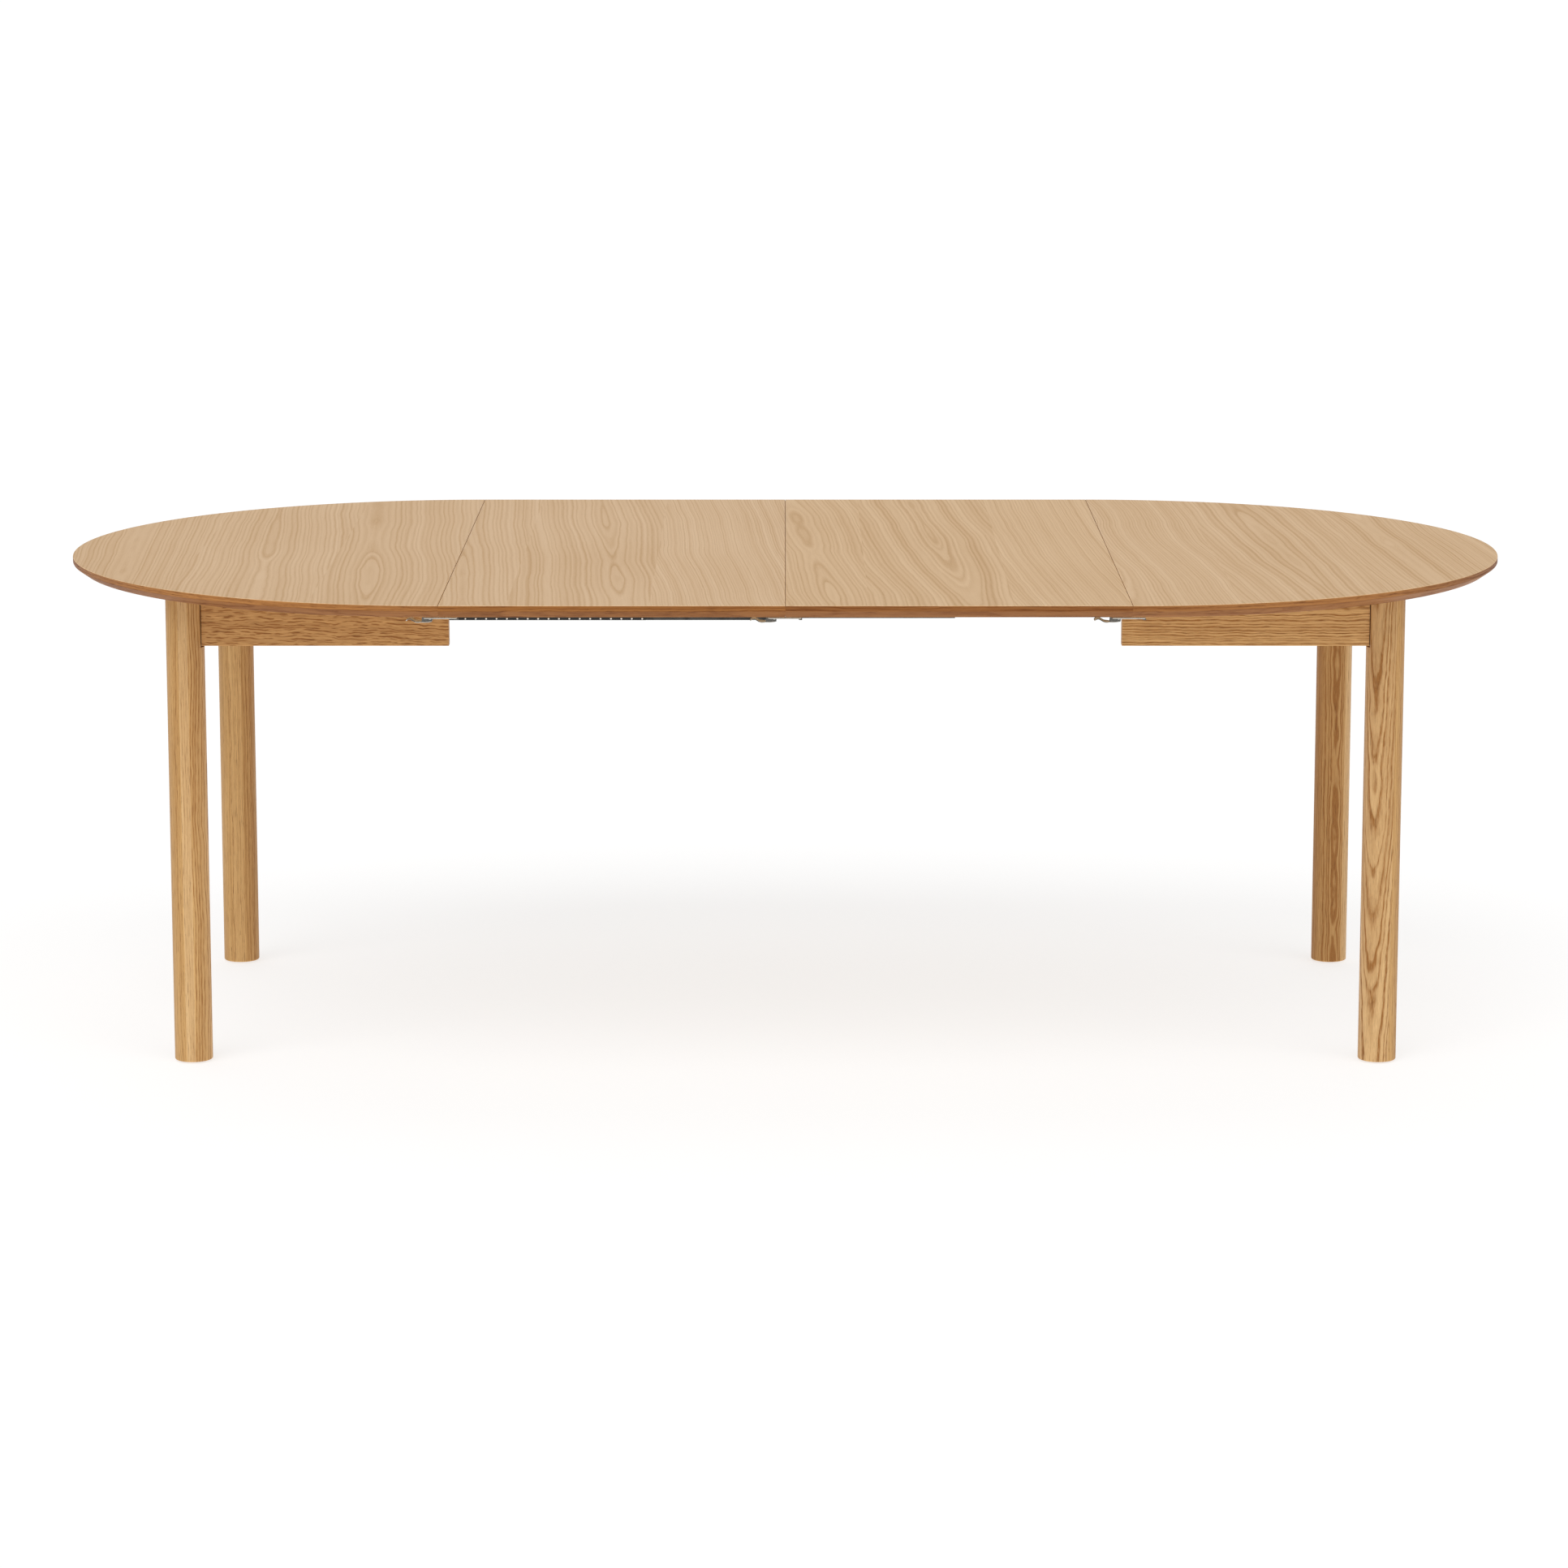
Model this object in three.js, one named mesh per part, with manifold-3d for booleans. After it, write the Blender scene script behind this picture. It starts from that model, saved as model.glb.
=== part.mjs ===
// Extendable dining table: two half-round tabletops on four round legs, two leaves between
// them, telescopic ball slides inside the rails and toggle latches under every seam.
// Millimetres, +Z up. The origin is on the floor under the middle of the extended table.
// +X is to the right and +Y to the back. The front and the back are mirror images.

import * as THREE from "three";
import { mergeVertices } from "three/addons/utils/BufferGeometryUtils.js";
import Module from "manifold-3d";

// ---------- driving dimensions ----------

const HEIGHT = 730;              // floor to the tabletop
const TOP_THICKNESS = 19;
const END_RADIUS = 600;          // of the half-round ends, and half the table's width
const LEAF_LENGTH = 500;         // along X, the same for both leaves
const EDGE_FACE = 7.5;           // upright face of the tabletop's edge
const EDGE_BEVEL = 15;           // how far the underside is cut back below that face
const EDGE_EASE = 0.8;           // small chamfer on the upper corner
const SEAM_GAP = 0.4;            // between neighbouring tops
const FIT_GAP = 0.3;             // between pieces that rest on each other

const LEG_RADIUS = 28.5;
const LEG_X = 893;               // leg axes
const LEG_Y = 350;
const LEG_FLAT = 24;             // from the leg's axis to the two flats at its head
const LEG_CHAMFER = 2;           // round the foot
const GLIDE_RADIUS = 12.5;
const GLIDE_THICKNESS = 2;

const RAIL_BOTTOM = 634;
const RAIL_THICKNESS = 22;
const RAIL_FACE_Y = 361;         // outer face of the front and back rails
const RAIL_EASE = 1.2;
const RAIL_TO_LEG = 1.2;         // shadow gap beside each leg
const SHOULDER_DROP = 2;         // the flats start this far below the rails

const BRACKET_BOTTOM = 637;
const BRACKET_HEIGHT = 24;
const BRACKET_THICKNESS = 2.5;
const BRACKET_REACH = 75;        // along each rail, from the inner corner to the bend
const BRACKET_FOOT = 22;         // length of each screwed foot

const LATCH_Y = 520;             // latch centre lines
const STEEL = 1.2;               // sheet thickness of the slide members
const BALL_ROOM = 3.2;           // between the webs of two nested members

// ---------- worked out from them ----------

const UNDERSIDE = HEIGHT - TOP_THICKNESS;
const RAIL_INNER_Y = RAIL_FACE_Y - RAIL_THICKNESS;
const END_RAIL_INNER_X = LEG_X - RAIL_THICKNESS / 2;
const SLIDE_OUTER_Y = RAIL_INNER_Y - FIT_GAP;
const HEAD_TOP = UNDERSIDE - FIT_GAP;     // top of the legs and rails

const wood = (color) => new THREE.MeshStandardMaterial({ color, roughness: 0.55, metalness: 0 });
const metal = (color, roughness) => new THREE.MeshStandardMaterial({ color, roughness, metalness: 1 });
const OAK_TOP = wood(0xcfa876);
const OAK_SOLID = wood(0xb98450);
const NICKEL = metal(0xc9c6bf, 0.25);
const SLIDE_STEEL = metal(0x2b2c2a, 0.45);
const BRACKET_STEEL = metal(0x9a9a96, 0.4);
const BLACK_PLASTIC = new THREE.MeshStandardMaterial({ color: 0x161514, roughness: 0.6 });
const FELT_BROWN = new THREE.MeshStandardMaterial({ color: 0x5c4632, roughness: 0.9 });

const table = new THREE.Group();

function add(name, geometry, material, parent = table) {
  const mesh = new THREE.Mesh(geometry, material);
  mesh.name = name;
  parent.add(mesh);
}

// ---------- solids ----------

const wasm = await Module();
wasm.setup();

function solid(geometry) {
  const bare = geometry.clone();
  bare.deleteAttribute("normal");
  bare.deleteAttribute("uv");
  const merged = mergeVertices(bare, 1e-4);
  return new wasm.Manifold(new wasm.Mesh({
    numProp: 3,
    vertProperties: new Float32Array(merged.attributes.position.array),
    triVerts: new Uint32Array(merged.index.array),
  }));
}

function geometryOf(manifold) {
  const made = manifold.getMesh();
  const geometry = new THREE.BufferGeometry();
  geometry.setAttribute("position", new THREE.BufferAttribute(made.vertProperties, 3));
  geometry.setIndex(new THREE.BufferAttribute(made.triVerts, 1));
  return geometry;
}

function joined(...geometries) {
  return geometryOf(geometries.map(solid).reduce((whole, next) => whole.add(next)));
}

function cut(geometry, ...tools) {
  return geometryOf(tools.map(solid).reduce((left, tool) => left.subtract(tool), solid(geometry)));
}

function box(x0, x1, y0, y1, z0, z1) {
  const geometry = new THREE.BoxGeometry(x1 - x0, y1 - y0, z1 - z0);
  return geometry.translate((x0 + x1) / 2, (y0 + y1) / 2, (z0 + z1) / 2);
}

const X = new THREE.Vector3(1, 0, 0);
const Y = new THREE.Vector3(0, 1, 0);
const Z = new THREE.Vector3(0, 0, 1);

function extruded(outline, length, frame) {
  const shape = outline instanceof THREE.Shape ? outline : new THREE.Shape(outline);
  const geometry = new THREE.ExtrudeGeometry(shape, { depth: length, bevelEnabled: false, curveSegments: 6 });
  return geometry.applyMatrix4(frame);
}

// an outline in Y and Z, drawn out along X
function alongX(outline, from, to) {
  return extruded(outline, to - from, new THREE.Matrix4().makeBasis(Y, Z, X).setPosition(from, 0, 0));
}

// an outline in X and Z, drawn out along Y
function alongY(outline, from, to) {
  const frame = new THREE.Matrix4().makeBasis(X, Z, Y.clone().negate());
  return extruded(outline, to - from, frame.setPosition(0, to, 0));
}

// a plan outline in X and Y, drawn out along Z
function alongZ(outline, from, to) {
  return extruded(outline, to - from, new THREE.Matrix4().setPosition(0, 0, from));
}

function point(x, y) {
  return new THREE.Vector2(x, y);
}

// the outline of a strip of sheet bent along a line of points
function bentStrip(line, thickness) {
  const left = [];
  const right = [];
  line.forEach((here, i) => {
    const before = line[Math.max(i - 1, 0)];
    const after = line[Math.min(i + 1, line.length - 1)];
    const arriving = (i ? here.clone().sub(before) : after.clone().sub(here)).normalize();
    const leaving = (i < line.length - 1 ? after.clone().sub(here) : here.clone().sub(before)).normalize();
    const across = arriving.clone().add(leaving).normalize();
    const reach = thickness / 2 / across.dot(arriving);
    left.push(point(here.x - across.y * reach, here.y + across.x * reach));
    right.unshift(point(here.x + across.y * reach, here.y - across.x * reach));
  });
  return [...left, ...right];
}

function pinAlongY(x, z, radius, halfLength, sides = 12) {
  const geometry = new THREE.CylinderGeometry(radius, radius, 2 * halfLength, sides);
  return geometry.translate(x, 0, z);
}

// a round wire along a closed path that lies nearly level
function closedWire(path, radius, sides) {
  const positions = [];
  const index = [];
  path.forEach((here, i) => {
    const before = path[(i + path.length - 1) % path.length];
    const after = path[(i + 1) % path.length];
    const along = after.clone().sub(before).normalize();
    const across = along.clone().cross(Z).normalize();
    const up = across.clone().cross(along);
    for (let k = 0; k < sides; k += 1) {
      const angle = (2 * Math.PI * k) / sides;
      const corner = here.clone()
        .addScaledVector(across, radius * Math.cos(angle))
        .addScaledVector(up, radius * Math.sin(angle));
      positions.push(corner.x, corner.y, corner.z);
      const next = ((i + 1) % path.length) * sides;
      const [a, b] = [i * sides + k, i * sides + ((k + 1) % sides)];
      const [c, d] = [next + k, next + ((k + 1) % sides)];
      index.push(a, c, b, b, c, d);
    }
  });
  const geometry = new THREE.BufferGeometry();
  geometry.setAttribute("position", new THREE.Float32BufferAttribute(positions, 3));
  geometry.setIndex(index);
  return geometry;
}

// ---------- tabletops and leaves ----------

const edgeProfile = (sign) => [
  point(sign * (END_RADIUS - EDGE_BEVEL), UNDERSIDE),
  point(sign * END_RADIUS, HEIGHT - EDGE_EASE - EDGE_FACE),
  point(sign * END_RADIUS, HEIGHT - EDGE_EASE),
  point(sign * (END_RADIUS - EDGE_EASE), HEIGHT),
];

function roundTop() {
  const profile = [point(0, UNDERSIDE), ...edgeProfile(1), point(0, HEIGHT)];
  return new THREE.LatheGeometry(profile, 120).rotateX(Math.PI / 2);
}

function halfRound(side) {
  const beyond = END_RADIUS + 1;
  const seam = SEAM_GAP / 2;
  const [x0, x1] = side < 0 ? [-seam, beyond] : [-beyond, seam];
  const half = cut(roundTop(), box(x0, x1, -beyond, beyond, UNDERSIDE - 1, HEIGHT + 1));
  return half.translate(side * LEAF_LENGTH, 0, 0);
}

function leaf(from) {
  const section = [...edgeProfile(1), ...edgeProfile(-1).reverse()];
  return alongX(section, from + SEAM_GAP / 2, from + LEAF_LENGTH - SEAM_GAP / 2);
}

add("tabletop_left", halfRound(-1), OAK_TOP);
add("tabletop_right", halfRound(1), OAK_TOP);
add("leaf_left", leaf(-LEAF_LENGTH), OAK_TOP);
add("leaf_right", leaf(0), OAK_TOP);

// ---------- legs, rails and brackets ----------

const SIDES = { left: -1, right: 1 };
const FACES = { front: -1, back: 1 };

function leg(side, face) {
  const foot = GLIDE_THICKNESS + FIT_GAP;
  const profile = [
    point(0, foot),
    point(LEG_RADIUS - LEG_CHAMFER, foot),
    point(LEG_RADIUS, foot + LEG_CHAMFER),
    point(LEG_RADIUS, HEAD_TOP),
    point(0, HEAD_TOP),
  ];
  const round = new THREE.LatheGeometry(profile, 40).rotateX(Math.PI / 2);
  const shoulder = RAIL_BOTTOM - SHOULDER_DROP;
  const far = 2 * LEG_RADIUS;
  const inward = (sign) => (sign < 0 ? [LEG_FLAT, far] : [-far, -LEG_FLAT]);
  const besideRail = box(...inward(side), -far, far, shoulder, HEIGHT);
  const besideEndRail = box(-far, far, ...inward(face), shoulder, HEIGHT);
  return cut(round, besideRail, besideEndRail).translate(side * LEG_X, face * LEG_Y, 0);
}

// a board's section with its lower edges eased
function board(low, high) {
  return [
    point(low, RAIL_BOTTOM + RAIL_EASE),
    point(low + RAIL_EASE, RAIL_BOTTOM),
    point(high - RAIL_EASE, RAIL_BOTTOM),
    point(high, RAIL_BOTTOM + RAIL_EASE),
    point(high, HEAD_TOP),
    point(low, HEAD_TOP),
  ];
}

function rail(side, face) {
  const atLeg = LEG_X - LEG_FLAT - RAIL_TO_LEG;
  const atSeam = LEAF_LENGTH + SEAM_GAP / 2;
  const [low, high] = face < 0 ? [-RAIL_FACE_Y, -RAIL_INNER_Y] : [RAIL_INNER_Y, RAIL_FACE_Y];
  return alongX(board(low, high), ...(side < 0 ? [-atLeg, -atSeam] : [atSeam, atLeg]));
}

function endRail(side) {
  const reach = LEG_Y - LEG_FLAT - RAIL_TO_LEG;
  const middle = side * LEG_X;
  return alongY(board(middle - RAIL_THICKNESS / 2, middle + RAIL_THICKNESS / 2), -reach, reach);
}

function cornerBracket(side, face) {
  const stand = FIT_GAP + BRACKET_THICKNESS / 2;
  const x = END_RAIL_INNER_X - stand;
  const y = RAIL_INNER_Y - stand;
  const line = [
    point(x, y - BRACKET_REACH - BRACKET_FOOT),
    point(x, y - BRACKET_REACH),
    point(x - BRACKET_REACH, y),
    point(x - BRACKET_REACH - BRACKET_FOOT, y),
  ].map((p) => point(side * p.x, face * p.y));
  return alongZ(bentStrip(line, BRACKET_THICKNESS), BRACKET_BOTTOM, BRACKET_BOTTOM + BRACKET_HEIGHT);
}

for (const [sideName, side] of Object.entries(SIDES)) {
  for (const [faceName, face] of Object.entries(FACES)) {
    const corner = `${faceName}_${sideName}`;
    const glide = new THREE.CylinderGeometry(GLIDE_RADIUS, GLIDE_RADIUS, GLIDE_THICKNESS, 24);
    glide.rotateX(Math.PI / 2).translate(side * LEG_X, face * LEG_Y, GLIDE_THICKNESS / 2);
    add(`leg_${corner}`, leg(side, face), OAK_SOLID);
    add(`glide_${corner}`, glide, FELT_BROWN);
    add(`rail_${corner}`, rail(side, face), OAK_SOLID);
    add(`corner_bracket_${corner}`, cornerBracket(side, face), BRACKET_STEEL);
  }
  add(`end_rail_${sideName}`, endRail(side), OAK_SOLID);
}

// ---------- telescopic ball slides ----------

// The four members of a slide nest like channels that open towards the middle of the table.
// Each is shallower than the one outside it. X spans are those of the extended table.
const SLIDE_MIDDLE_Z = 688.2;
const FLANGE_TIP_Y = 319;        // where every flange ends
const MEMBERS = [
  { name: "left_rail", halfHeight: 22.2, from: -865, to: -505 },
  { name: "first_stage", halfHeight: 19.6, from: -740, to: -20 },
  { name: "second_stage", halfHeight: 17.3, from: -430, to: 253 },
  { name: "right_rail", halfHeight: 14.7, from: 121, to: 865 },
];
const CAGES = [
  { name: "left", halfHeight: 19.2, from: -700, to: -207 },
  { name: "middle", halfHeight: 16.9, from: -390, to: -60 },
  { name: "right", halfHeight: 14.2, from: 125, to: 249 },
];
const CAGE_THICKNESS = 0.8;
const HANGER_Y = 317.5;          // outer face of the right rail's riser
const HANGER_TIP_Y = 296;        // where its flange under the top ends

const webOuterY = (index) => SLIDE_OUTER_Y - index * (STEEL + BALL_ROOM);

function channel(outer, halfHeight, face) {
  const low = SLIDE_MIDDLE_Z - halfHeight;
  const high = SLIDE_MIDDLE_Z + halfHeight;
  return [
    point(FLANGE_TIP_Y, low),
    point(outer, low),
    point(outer, high),
    point(FLANGE_TIP_Y, high),
    point(FLANGE_TIP_Y, high - STEEL),
    point(outer - STEEL, high - STEEL),
    point(outer - STEEL, low + STEEL),
    point(FLANGE_TIP_Y, low + STEEL),
  ].map((p) => point(face * p.x, p.y));
}

// the innermost member's upper flange turns up and in, and hangs from the right tabletop
function hangingChannel(outer, halfHeight, face) {
  const low = SLIDE_MIDDLE_Z - halfHeight;
  const high = SLIDE_MIDDLE_Z + halfHeight;
  const under = UNDERSIDE - 2 * FIT_GAP;
  return [
    point(FLANGE_TIP_Y, low),
    point(outer, low),
    point(outer, high),
    point(HANGER_Y, high),
    point(HANGER_Y, under),
    point(HANGER_TIP_Y, under),
    point(HANGER_TIP_Y, under - STEEL),
    point(HANGER_Y - STEEL, under - STEEL),
    point(HANGER_Y - STEEL, high - STEEL),
    point(outer - STEEL, high - STEEL),
    point(outer - STEEL, low + STEEL),
    point(FLANGE_TIP_Y, low + STEEL),
  ].map((p) => point(face * p.x, p.y));
}

for (const [faceName, face] of Object.entries(FACES)) {
  MEMBERS.forEach(({ name, halfHeight, from, to }, index) => {
    const section = index === MEMBERS.length - 1 ? hangingChannel : channel;
    add(`slide_${faceName}_${name}`, alongX(section(webOuterY(index), halfHeight, face), from, to), SLIDE_STEEL);
  });
  CAGES.forEach(({ name, halfHeight, from, to }, index) => {
    const middle = face * (webOuterY(index) - STEEL - BALL_ROOM / 2);
    const half = CAGE_THICKNESS / 2;
    const heights = [SLIDE_MIDDLE_Z - halfHeight, SLIDE_MIDDLE_Z + halfHeight];
    add(`ball_cage_${faceName}_${name}`, box(from, to, middle - half, middle + half, ...heights), BLACK_PLASTIC);
  });
}

// ---------- toggle latches ----------

// A latch is drawn round its own origin: on the seam, on the latch's centre line, at the
// underside of the top. -X is the side of the lever and +X the side of the hook.
const LEVER_PIN = { x: -16, z: -9.5 };   // the lever turns on this pin between the ears
const BAIL_PIN = { x: -25, z: -9.3 };    // the bail turns here, in the lever's cheeks
const CATCH = { x: 22, z: -9.5 };        // the bail's crossbar, held by the hook
const PLATE = { top: -FIT_GAP, bottom: -1.8 };
const PIN_RADIUS = 1.5;
const WIRE_RADIUS = 1.3;
const EAR = { inner: 8, outer: 9.2, round: 3.6 };
const CHEEK = { inner: 6.3, outer: 7.5 };
const WIRE_Y = 10.9;                     // the bail's arms pass outside the ears
const TAB_HALF_WIDTH = 11.5;
const LEVER_SHEET = 1.3;
const HOOK_SHEET = 1.5;
const HOOK_HALF_WIDTH = 5;
const PIN_CLEARANCE = 0.3;

function bothSides(outline, inner, outer) {
  return [alongY(outline, -outer, -inner), alongY(outline, inner, outer)];
}

function latchBase() {
  const ear = new THREE.Shape();
  ear.moveTo(LEVER_PIN.x + 7, -1);
  ear.lineTo(LEVER_PIN.x + EAR.round, LEVER_PIN.z);
  ear.absarc(LEVER_PIN.x, LEVER_PIN.z, EAR.round, 0, -Math.PI, true);
  ear.lineTo(LEVER_PIN.x - 7, -1);
  return joined(
    box(-36, -4, -13, 13, PLATE.bottom, PLATE.top),
    ...bothSides(ear, EAR.inner, EAR.outer),
    pinAlongY(LEVER_PIN.x, LEVER_PIN.z, PIN_RADIUS, EAR.outer - 0.1),
  );
}

// The handle's strip dips under the pins and rises to a thumb tab that curls down at its tip.
function latchLever() {
  const dip = new THREE.SplineCurve([
    point(-51, -13.8), point(-48, -11.2), point(-44.5, -11), point(-40.5, -13.2),
    point(-36, -15.4), point(-29, -15.8), point(-21, -15.8), point(-14, -14.8),
  ]);
  const strip = alongY(bentStrip(dip.getPoints(16), LEVER_SHEET), -TAB_HALF_WIDTH, TAB_HALF_WIDTH);
  const narrow = CHEEK.outer;
  const tip = TAB_HALF_WIDTH;
  const plan = [
    point(-10, -narrow), point(-10, narrow), point(-29, narrow), point(-33, tip), point(-47, tip),
    point(-53, tip - 4), point(-53, 4 - tip), point(-47, -tip), point(-33, -tip), point(-29, -narrow),
  ];
  const blank = geometryOf(solid(strip).intersect(solid(alongZ(plan, -20, -5))));
  const cheek = new THREE.Shape();
  cheek.moveTo(-13, -14.8);
  cheek.lineTo(LEVER_PIN.x + 3.2, LEVER_PIN.z);
  cheek.absarc(LEVER_PIN.x, LEVER_PIN.z, 3.2, 0, Math.PI / 2, false);
  cheek.absarc(BAIL_PIN.x, BAIL_PIN.z, 3, Math.PI / 2, Math.PI, false);
  cheek.lineTo(-28.6, -15.7);
  const whole = joined(blank, ...bothSides(cheek, CHEEK.inner, CHEEK.outer));
  return cut(
    whole,
    pinAlongY(LEVER_PIN.x, LEVER_PIN.z, PIN_RADIUS + PIN_CLEARANCE, 15),
    pinAlongY(BAIL_PIN.x, BAIL_PIN.z, WIRE_RADIUS + PIN_CLEARANCE, 15),
  );
}

// the bail is one closed loop of wire, seen in plan as a rectangle with rounded corners
function latchBail() {
  const round = 2.6;
  const plan = new THREE.Shape();
  plan.moveTo(BAIL_PIN.x, 0);
  plan.absarc(BAIL_PIN.x + round, WIRE_Y - round, round, Math.PI, Math.PI / 2, true);
  plan.absarc(CATCH.x - round, WIRE_Y - round, round, Math.PI / 2, 0, true);
  plan.absarc(CATCH.x - round, round - WIRE_Y, round, 0, -Math.PI / 2, true);
  plan.absarc(BAIL_PIN.x + round, round - WIRE_Y, round, -Math.PI / 2, -Math.PI, true);
  const slope = (CATCH.z - BAIL_PIN.z) / (CATCH.x - BAIL_PIN.x);
  const path = plan.getPoints(4).map((p) => (
    new THREE.Vector3(p.x, p.y, BAIL_PIN.z + slope * (p.x - BAIL_PIN.x))
  ));
  return closedWire(path, WIRE_RADIUS, 8);
}

function latchStrike() {
  const back = CATCH.x - WIRE_RADIUS - 0.5 - HOOK_SHEET / 2;
  const lip = CATCH.z - WIRE_RADIUS - 0.9 - HOOK_SHEET / 2;
  const hook = [point(back, -1), point(back, lip + 1.4), point(back + 0.5, lip + 0.4), point(back + 1.6, lip),
    point(CATCH.x + 2.4, lip)];
  return joined(
    box(3, 30, -9, 9, PLATE.bottom, PLATE.top),
    alongY(bentStrip(hook, HOOK_SHEET), -HOOK_HALF_WIDTH, HOOK_HALF_WIDTH),
  );
}

const SEAMS = { left: -LEAF_LENGTH, middle: 0, right: LEAF_LENGTH };
const LATCH_PIECES = { base: latchBase(), lever: latchLever(), bail: latchBail(), strike: latchStrike() };

for (const [faceName, face] of Object.entries(FACES)) {
  for (const [seamName, seam] of Object.entries(SEAMS)) {
    const latch = new THREE.Group();
    latch.position.set(seam, face * LATCH_Y, UNDERSIDE);
    table.add(latch);
    for (const [piece, geometry] of Object.entries(LATCH_PIECES)) {
      add(`latch_${faceName}_${seamName}_${piece}`, geometry, NICKEL, latch);
    }
  }
}

export default table;
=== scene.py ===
"""Extendable oak dining table: half-round tabletops, two leaves, round legs, ball slides
and toggle latches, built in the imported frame. Sizes here are millimetres; meshes are metres."""

import math

import bmesh
import bpy
import numpy as np
from mathutils import Matrix, Vector


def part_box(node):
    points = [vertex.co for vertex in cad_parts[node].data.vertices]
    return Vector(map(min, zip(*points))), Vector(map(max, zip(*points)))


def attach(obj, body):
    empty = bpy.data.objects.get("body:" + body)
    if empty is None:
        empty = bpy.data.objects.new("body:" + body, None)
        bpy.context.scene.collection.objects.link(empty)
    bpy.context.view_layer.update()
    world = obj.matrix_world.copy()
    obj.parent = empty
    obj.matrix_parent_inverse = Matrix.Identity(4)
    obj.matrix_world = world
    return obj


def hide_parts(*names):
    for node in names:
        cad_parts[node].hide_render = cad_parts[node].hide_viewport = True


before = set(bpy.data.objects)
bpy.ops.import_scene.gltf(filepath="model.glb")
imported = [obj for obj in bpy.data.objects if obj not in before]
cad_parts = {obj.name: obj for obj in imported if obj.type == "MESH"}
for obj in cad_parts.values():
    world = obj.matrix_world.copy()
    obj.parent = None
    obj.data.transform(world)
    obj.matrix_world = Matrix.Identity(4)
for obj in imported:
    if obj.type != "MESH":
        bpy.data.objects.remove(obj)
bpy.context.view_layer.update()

MM = 0.001


def span(node):
    """Lowest and highest corner of a CAD node, in millimetres."""
    low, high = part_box(node)
    return low / MM, high / MM


# ---------- driving dimensions, most of them read from the frame ----------

SIDES = {"left": -1, "right": 1}
FACES = {"front": -1, "back": 1}
# every corner of the table as (its face, that face's sign along Y, its side, that side's sign along X)
CORNERS = [(f, face, s, side) for f, face in FACES.items() for s, side in SIDES.items()]

TOP_LOW, TOP_HIGH = span("tabletop_left")
LEAF_LOW, LEAF_HIGH = span("leaf_left")
HEIGHT = TOP_HIGH.z
UNDERSIDE = TOP_LOW.z
END_RADIUS = TOP_HIGH.y
SEAM_GAP = -2 * LEAF_HIGH.x
LEAF_LENGTH = SEAM_GAP / 2 - LEAF_LOW.x
SEAMS = {"left": -LEAF_LENGTH, "middle": 0.0, "right": LEAF_LENGTH}

LEG_LOW, LEG_HIGH = span("leg_back_right")
LEG_RADIUS = (LEG_HIGH.x - LEG_LOW.x) / 2
LEG_X = LEG_HIGH.x - LEG_RADIUS
LEG_Y = LEG_HIGH.y - LEG_RADIUS

RAIL_LOW, RAIL_HIGH = span("rail_back_right")
END_RAIL_LOW, END_RAIL_HIGH = span("end_rail_right")

SEAM_BODIES = {
    "left": ("left_half", "leaf_left"),
    "middle": ("leaf_left", "leaf_right"),
    "right": ("leaf_right", "right_half"),
}


# ---------- building meshes ----------


class Form:
    """Points and faces of one piece. Faces marked flat are shaded flat."""

    def __init__(self, points=(), faces=(), flat=()):
        self.points = list(points)
        self.faces = list(faces)
        self.flat = [i in flat for i in range(len(self.faces))]

    def join(self, other, matrix=None):
        """Adds another form, moved or mirrored by the matrix."""
        start = len(self.points)
        mirrored = matrix is not None and matrix.to_3x3().determinant() < 0
        for point in other.points:
            self.points.append(tuple(matrix @ Vector(point)) if matrix is not None else point)
        for face, flat in zip(other.faces, other.flat):
            ring = [start + i for i in face]
            self.faces.append(ring[::-1] if mirrored else ring)
            self.flat.append(flat)
        return self

    def bmesh(self):
        made = bmesh.new()
        corners = [made.verts.new(point) for point in self.points]
        for face, flat in zip(self.faces, self.flat):
            made.faces.new([corners[i] for i in face]).smooth = not flat
        bmesh.ops.recalc_face_normals(made, faces=made.faces)
        return made


def moved(form, matrix):
    return Form().join(form, matrix)


def loft(rings, closed=False):
    """Joins rings with the same number of points, and closes an open row with flat caps."""
    count = len(rings[0])
    points = [p for ring in rings for p in ring]
    faces = []
    for band in range(len(rings) if closed else len(rings) - 1):
        low = band * count
        high = ((band + 1) % len(rings)) * count
        for i in range(count):
            j = (i + 1) % count
            faces.append([low + i, low + j, high + j, high + i])
    if closed:
        return Form(points, faces)
    sides = len(faces)
    faces.append(list(range(count))[::-1])
    faces.append(list(range(len(points) - count, len(points))))
    return Form(points, faces, (sides, sides + 1))


def lathe(profile, sides=24, axis="Z", at=(0, 0, 0)):
    """Turns (radius, height) points round an axis. Ends on the axis are closed with flat caps."""
    rings = []
    for radius, height in profile:
        ring = []
        for i in range(sides):
            angle = 2 * math.pi * i / sides
            u, v = radius * math.cos(angle), radius * math.sin(angle)
            p = {"X": (height, u, v), "Y": (u, height, v), "Z": (u, v, height)}[axis]
            ring.append((p[0] + at[0], p[1] + at[1], p[2] + at[2]))
        rings.append(ring)
    return loft(rings)


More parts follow.
